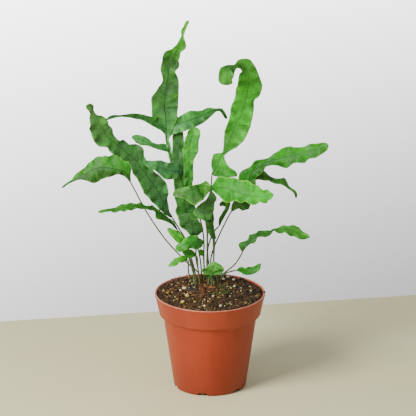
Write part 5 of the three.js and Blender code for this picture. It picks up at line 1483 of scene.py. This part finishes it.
@dataclass
class Soil:
    """Damp peat mix that fills the pot, with crumbs, bark, straw, perlite and a little moss on top.

    Slate, perlite and moss are given by place: x, y and half length, or for moss the cushion's radius.
    """

    pot: Pot
    rings: int = 62
    sides: int = 132
    seed: int = 11
    crumbs: int = 2600
    scales: int = 320
    chips: int = 420
    spilt: int = 15
    spill_angle: float = 128.0
    spill_spread: float = 9.0
    fibres: int = 260
    small_perlite: int = 110
    moss_density: float = 20.0
    scales_at: Spot = (-7.0, 8.0)
    scales_spread: Spot = (8.0, 17.0)
    slate: list[Point] = field(default_factory=list)
    perlite: list[Point] = field(default_factory=list)
    moss: list[Point] = field(default_factory=list)

    def build(self, bed: bpy.types.Material, loose: bpy.types.Material) -> list[bpy.types.Object]:
        """Make the soil's body and what lies on it.

        Args:
            bed: the peat.
            loose: the loose matter's finish, which takes its colour from the mesh.

        Returns:
            The pieces.
        """
        self.rng = np.random.default_rng(self.seed)
        return [self._bed(bed), self._litter(loose), self._grains(loose), self._moss(loose)]

    @property
    def reach(self) -> float:
        """Radius of the soil's top."""
        return self.pot.inner(0.12)[0][0]

    def _bed(self, material: bpy.types.Material) -> bpy.types.Object:
        """Make the body with its uneven top."""
        wall = list(reversed(self.pot.inner(SOIL_INSET)))
        radii = self.reach * np.linspace(1, 0, self.rings) ** 0.9
        profile = [(0, wall[0][1]), *wall[:-1], *[(r, SOIL_EDGE) for r in radii[:-1]], (0, SOIL_EDGE)]
        points, faces = turned(profile, self.sides)
        for i in np.nonzero(points[:, 2] == SOIL_EDGE)[0]:
            points[i, 2] = soil_face(*points[i, :2])
        gather = Gather()
        gather.add(points, faces)
        return settle(gather.build("soil_bed", [material]), "soil_mix", "soil")

    def _spot(self, spare: float = 0.5) -> Spot:
        """A random place on the soil."""
        radius = (self.reach - spare) * math.sqrt(self.rng.random())
        angle = self.rng.random() * ROUND
        return radius * math.cos(angle), radius * math.sin(angle)

    def _litter(self, material: bpy.types.Material) -> bpy.types.Object:
        """Make the crumbs, bark chips, slate and fibres."""
        litter, rng = Litter(self.rng), self.rng
        for _ in range(self.crumbs):
            litter.drop(self._spot(), litter.size(0.4, 1.5, 2.2), 0.15, Crumb.PEAT, (1, 0.85, 0.7))
        for _ in range(self.scales):
            spot = tuple(at + s * rng.standard_normal() for at, s in zip(self.scales_at, self.scales_spread))
            if math.hypot(*spot) < self.reach - 2:
                litter.drop(spot, litter.size(0.5, 1.3, 1.6), 0.2, Crumb.SCALE, (1.2, 0.7, 0.4))
        for _ in range(self.chips):
            spot = self._spot(2.0)
            kind = Crumb.BARK if rng.random() < 0.55 else Crumb.STRAW
            litter.drop(spot, litter.size(0.5, 1.3, 2.4), 0.45, kind, (1.2, 0.6, 0.4))
        for x, y, size in self.slate:
            litter.lump((x, y, soil_face(x, y) + 0.6), size, Crumb.SLATE, (1, 0.7, 0.26), 2)
        for _ in range(self.spilt):
            angle = math.radians(self.spill_angle + self.spill_spread * rng.standard_normal())
            away, size = RIM_RADIUS - 0.6 - 1.6 * rng.random(), litter.size(0.3, 0.6, 2)
            place = (away * math.cos(angle), away * math.sin(angle), POT_HEIGHT + 0.25 * size)
            litter.lump(place, size, Crumb.BARK, (1.4, 0.6, 0.5))
        litter.lump((RIM_RADIUS - 1.0, -0.5, POT_HEIGHT + 0.4), 1.5, Crumb.SLATE, (0.6, 1.2, 0.4), 2)
        for _ in range(self.fibres):
            litter.fibre(*self._spot(4.0))
        return settle(litter.build("soil_litter", [material], smooth=False), "soil_mix")

    def _grains(self, material: bpy.types.Material) -> bpy.types.Object:
        """Make the perlite, the named grains first and then small scattered ones."""
        litter = Litter(self.rng)
        for x, y, size in self.perlite:
            litter.drop((x, y), size, 0.6, Crumb.PERLITE, (1, 0.85, 0.75), 2)
        for _ in range(self.small_perlite):
            litter.drop(self._spot(3.0), litter.size(0.35, 0.65, 1.5), 0.6, Crumb.PERLITE, (1, 0.9, 0.8))
        return settle(litter.build("soil_perlite", [material]), "soil_mix")

    def _moss(self, material: bpy.types.Material) -> bpy.types.Object:
        """Make the moss as cushions of short pointed shoots."""
        litter, rng = Litter(self.rng), self.rng
        for cx, cy, radius in self.moss:
            for _ in range(int(self.moss_density * radius * radius)):
                angle, away = rng.random() * ROUND, radius * math.sqrt(rng.random())
                x, y = cx + away * math.cos(angle), cy + away * math.sin(angle)
                if math.hypot(x, y) <= self.reach:
                    litter.shoot(x, y, 0.5 + 1.1 * rng.random() * (1.15 - away / radius))
        return settle(litter.build("soil_moss", [material]), "soil_mix")


@dataclass(frozen=True)
class PeatFinish:
    """Dark damp peat, lighter and drier on its high crumbs, with painted shade that makes it darker to the right."""

    low: str = "#0d0704"
    high: str = "#5c3a1c"
    crumbs: str = "#2c1b0e"
    damp: str = "#0b0603"
    dry: str = "#b3904e"
    shade: str = "#120b06"

    def material(self) -> bpy.types.Material:
        """Make the peat."""
        tree = Tree("soil_peat")
        place = tree.place()
        coarse = tree.cloud(place, 420.0, 5.0, 0.7)
        crumbs = tree.cells(place, 900.0)
        fine = tree.cloud(place, 3200.0, 3.0, 0.7)
        colour = tree.cover(
            tree.mix(coarse.ease(0.36, 0.7), self.low, self.high),
            (crumbs.ease(0.1, 0.6) * 0.5, self.crumbs),
            (tree.cloud(place, 190.0, 2.0).ease(0.48, 0.62) * 0.6, self.damp),
            (fine.ease(0.62, 0.75) * 0.55, self.dry),
            # Painted shade darkens the peat towards the right.
            (place.parts()[0].ease(-0.03, 0.05, 0.0, 0.5), self.shade),
        )
        normal = tree.relief(crumbs, 0.0004, tree.relief(coarse * 0.7 + fine * 0.3, 0.0012))
        return tree.surface(Base_Color=colour, Roughness=fine * 0.2 + 0.72, Normal=normal)


@dataclass(frozen=True)
class GrainFinish:
    """Loose matter in the colour stored on it, with fine pores and painted shade that makes it darker to the right.
    """

    pores: str = "#8a7460"
    stain: str = "#4a3420"
    shade: str = "#20150c"

    def material(self) -> bpy.types.Material:
        """Make the finish."""
        tree = Tree("soil_grains")
        place = tree.place()
        pores = tree.cloud(place, 2800.0, 3.0, 0.7)
        patch = tree.cloud(place, 900.0, 2.0, 0.6)
        colour = tree.cover(
            tree.glaze(pores.ease(0.55, 0.35) * 0.45, tree.attribute("grain_hue", "Color"), self.pores),
            (patch.ease(0.55, 0.75) * 0.18, self.stain),
            # Painted shade darkens the grains towards the right.
            (place.parts()[0].ease(-0.03, 0.05, 0.0, 0.4), self.shade),
        )
        normal = tree.relief(pores * 0.6 + patch * 0.4, 0.0004)
        return tree.surface(Base_Color=colour, Roughness=pores * 0.2 + 0.68, Normal=normal)


# Rhizome

STEM: list[list[Point]] = [
    [(-10, 43, 89.5), (-9, 33, 90.5), (-9, 23, 90.5), (-8, 13, 91), (-6.5, 2, 91.2), (-6.5, -9, 90.2)],
    [(-8, 17, 90.2), (-2, 15, 90), (4, 12.5, 90.8)],
]


@dataclass
class Rhizome:
    """Creeping stem that lies half sunk in the soil, covered with papery scales."""

    radius: float = 4.2
    sides: int = 20
    scales: int = 900
    seed: int = 5
    route_step: float = 0.8
    core: float = 0.93  # share of the radius that is stem, under the scales
    bump: float = 0.22
    spread: float = math.radians(230)  # how far round the stem the scales reach
    young: str = "#c8843c"  # scales at the end of the side branch
    young_from: float = 0.55  # share of the branch where they begin

    def build(self, bark: bpy.types.Material, loose: bpy.types.Material) -> list[bpy.types.Object]:
        """Make the stem and its scales.

        Args:
            bark: the stem's finish.
            loose: the finish of the scales.

        Returns:
            The pieces.
        """
        stem, coat = Gather(), Litter(np.random.default_rng(self.seed))
        for n, path in enumerate(STEM):
            route = smooth_route(path, self.route_step)
            u = np.linspace(0, 1, len(route))
            blunt = np.sqrt(np.maximum(0.12, 1 - (2 * u - 1) ** 6))
            radii = self.radius * blunt * (1 - 0.18 * u + 0.08 * np.sin(9 * u)) * self.core
            points, faces = tube(route, radii, self.sides)
            bumps = [self.bump * noise.noise(Vector(p) * 0.9) for p in points]
            out = unit(points - np.repeat(route, self.sides, axis=0))
            stem.add(points + out * np.array(bumps)[:, None], faces)
            self._scales(coat, route, radii, self.scales // (n + 1), tip=n == 1)
        body = settle(stem.build("rhizome_stem", [bark]), "rhizome_scales", "rhizome")
        return [body, settle(coat.build("rhizome_coat", [loose]), "rhizome_scales")]

    def _scales(self, coat: Litter, route: np.ndarray, radii: np.ndarray, count: int, tip: bool) -> None:
        """Cover a stem with overlapping pointed scales.

        Args:
            coat: the mesh of the scales.
            route: the stem's middle line.
            radii: its radius at each place.
            count: how many scales.
            tip: whether those at its end are young.
        """
        rng, forward = coat.rng, unit(np.gradient(route, axis=0))
        for _ in range(count):
            i = int(rng.integers(1, len(route) - 1))
            angle = (rng.random() - 0.5) * self.spread
            ahead = forward[i]
            side = unit(np.cross(ahead, np.array([0.0, 0.0, 1.0])))
            out = np.cross(side, ahead) * math.cos(angle) + side * math.sin(angle)
            base = route[i] + out * (radii[i] + 0.02)
            long, wide = 2.0 + 2.0 * rng.random(), 0.5 + 0.5 * rng.random()
            lie = unit(ahead * (0.8 + 0.4 * rng.random()) + np.cross(out, ahead) * (rng.random() - 0.5) * 0.9)
            lift = 0.15 + 0.6 * rng.random()
            cross = np.cross(out, lie)
            half = base + lie * long * 0.5
            points = np.array([
                base - cross * wide, base + out * 0.12, base + cross * wide,
                half - cross * wide * 0.8 + out * lift * 0.4, half + out * (lift * 0.4 + 0.14),
                half + cross * wide * 0.8 + out * lift * 0.4, base + lie * long + out * lift,
            ])
            hue = coat.tone(Crumb.SCALE, 7)
            if tip and i / len(route) > self.young_from:
                hue = hue * 0.5 + np.array(paint(self.young)) * 0.5
            coat.add(points, [(0, 1, 4, 3), (1, 2, 5, 4), (3, 4, 6), (4, 5, 6)], 0, grain_hue=hue)


@dataclass(frozen=True)
class StemFinish:
    """Red-brown papery bark of the creeping stem."""

    dark: str = "#2c140b"
    light: str = "#74401f"
    flecks: str = "#2d170c"

    def material(self) -> bpy.types.Material:
        """Make the bark."""
        tree = Tree("rhizome_bark")
        place = tree.place()
        rings = tree.cloud(tree.scaled(place, (1.0, 2.5, 1.0)), 700.0, 4.0, 0.65)
        flecks = tree.cells(place, 1300.0)
        colour = tree.mix(rings.ease(0.35, 0.65), self.dark, self.light)
        colour = tree.mix(flecks.ease(0.15, 0.5) * 0.5, colour, self.flecks)
        normal = tree.relief(rings * 0.6 + flecks * 0.4, 0.0005)
        return tree.surface(Base_Color=colour, Roughness=rings * 0.2 + 0.6, Normal=normal)


# Stage


@dataclass
class Stage:
    """Pale table top with its back edge in view, a pale wall behind, soft studio light and a long lens."""

    distance: float = 12.0  # metres
    film: float = 36.0
    aim: Point = (-1.9, 0.0, 178.2)
    table_left: Spot = (-199.0, 170.0)
    table_right: Spot = (195.0, 242.0)
    table_reach: float = 2600.0
    table_thick: float = 20.0
    front: float = -2500.0
    wall: float = 1500.0
    wall_reach: float = 4000.0
    wall_foot: float = -2500.0
    wall_top: float = 3000.0
    window: Point = (-930.0, -860.0, 950.0)
    window_aim: Point = (0.0, 0.0, 110.0)
    window_side: float = 620.0
    window_watts: float = 32.0
    window_tint: Point = (1.0, 0.98, 0.94)
    room_tint: Colour = (0.93, 0.96, 1.0, 1.0)
    room_strength: float = 0.5

    def build(self) -> None:
        """Make the floor, the wall, the lights and the camera."""
        self._floor()
        self._wall()
        self._lights()
        self._camera()

    def _edge(self, x: float) -> Point:
        """Place of the table's back edge at a place along it."""
        (xa, ya), (xb, yb) = self.table_left, self.table_right
        return (x, ya + (yb - ya) * (x - xa) / (xb - xa), 0)

    def _floor(self) -> None:
        """Make the table top."""
        tree = Tree("table_top")
        grain = tree.cloud(tree.scaled(tree.place(), (0.3, 1.0, 1.0)), 9.0, 3.0)
        colour = tree.mix(grain.ease(0.3, 0.7), "#efe8b2", "#f2ecbc")
        material = tree.surface(Base_Color=colour, Roughness=0.6)
        wide = self.table_reach
        points = [(-wide, self.front, 0), (wide, self.front, 0), self._edge(wide), self._edge(-wide)]
        low = [(x, y, z - self.table_thick) for x, y, z in points]
        gather = Gather()
        gather.add(np.array(points + low, dtype=float), [(0, 1, 2, 3), (3, 2, 6, 7)])
        gather.build("table_top", [material], smooth=False)

    def _wall(self) -> None:
        """Make the wall, which glows by itself, brighter towards its upper left."""
        tree = Tree("backdrop_paint")
        x, _, height = tree.place().parts()
        across = (x + 0.203) * (0.79 - height * 3.4)  # the lower, the faster it darkens to the right
        glow = 2.0 ** (height.least(-0.1) * 5.1 + 0.72 - across.most(-0.5))
        material = tree.surface(
            Base_Color=paint("#000000"), Roughness=1.0, Specular_IOR_Level=0.0, Emission_Color=tree.grey(glow),
            Emission_Strength=5.0,
        )
        tree.clear_behind()
        wide, low, top = self.wall_reach, self.wall_foot, self.wall_top
        points = [(-wide, self.wall, low), (wide, self.wall, low), (wide, self.wall, top), (-wide, self.wall, top)]
        gather = Gather()
        gather.add(np.array(points), [(0, 1, 2, 3)])
        backdrop = gather.build("backdrop", [material], smooth=False)
        backdrop.visible_diffuse = backdrop.visible_glossy = False

    def _lights(self) -> None:
        """Fill the room with weak light and hang one square soft light."""
        world = bpy.data.worlds.new("studio")
        bpy.context.scene.world = world
        world.use_nodes = True
        ground = world.node_tree.nodes["Background"]
        ground.inputs["Color"].default_value = self.room_tint
        ground.inputs["Strength"].default_value = self.room_strength
        data = bpy.data.lights.new("window", "AREA")
        data.size, data.energy, data.color = self.window_side * MM, self.window_watts, self.window_tint
        lamp = put("window", data)
        lamp.location = Vector(self.window) * MM
        lamp.rotation_euler = (Vector(self.window_aim) - Vector(self.window)).to_track_quat("-Z", "Y").to_euler()

    def _camera(self) -> None:
        """Set the camera at the photograph's viewing angle."""
        data = bpy.data.cameras.new("camera")
        data.sensor_fit = "HORIZONTAL"
        data.sensor_width = self.film
        data.lens = self.film * self.distance / (IMAGE_SIDE / PIXELS_PER_MM * MM)
        data.clip_end = 60.0
        camera = put("camera", data)
        back = Vector((0.0, -math.cos(LOOK_DOWN), math.sin(LOOK_DOWN)))
        camera.location = Vector(self.aim) * MM + back * self.distance
        camera.rotation_euler = (math.pi / 2 - LOOK_DOWN, 0.0, 0.0)
        bpy.context.scene.camera = camera


def corners(box: tuple) -> list[list[float]]:
    """Turn a box into plain lists of numbers."""
    return [[float(v) for v in corner] for corner in box]


def main() -> None:
    """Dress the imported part."""
    logging.basicConfig(level=logging.INFO, format="%(name)s: %(message)s")
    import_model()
    Stage().build()
    pot = Pot()
    pot.build(PotFinish().material())
    grains = GrainFinish().material()
    soil = Soil(
        pot,
        slate=[(-17, 17, 4.2), (-15.5, 7, 4.6), (-18.5, 4, 2.6)],
        perlite=[
            (-28.3, 6.6, 1.4), (-24.6, 9.4, 2), (-21.9, -10.7, 2.2), (-25.9, -27.7, 2), (10.1, -34.9, 1.6),
            (12.8, 36.5, 1.7), (17.3, 43.5, 1.8), (23.4, 17.5, 1.5), (22.6, 36, 1.6), (38.9, 3, 1.3),
            (29.6, 12, 1.3), (3.1, -9.7, 1.3), (19.1, -13.3, 1.3), (-4.9, -36.6, 1.4),
        ],
        moss=[(12, 15, 6.5), (14, 5, 5), (10, 24, 4.5), (5, -2, 4.5), (11, -5, 4.5)],
    )
    soil.build(PeatFinish().material(), grains)
    Rhizome().build(StemFinish().material(), grains)
    finishes = [LeafFinish().material(), StalkFinish().material()]
    for n, frond in enumerate(FRONDS):
        frond.build(finishes, FROND_SEED * (n + 1))


if __name__ == "__main__":
    main()
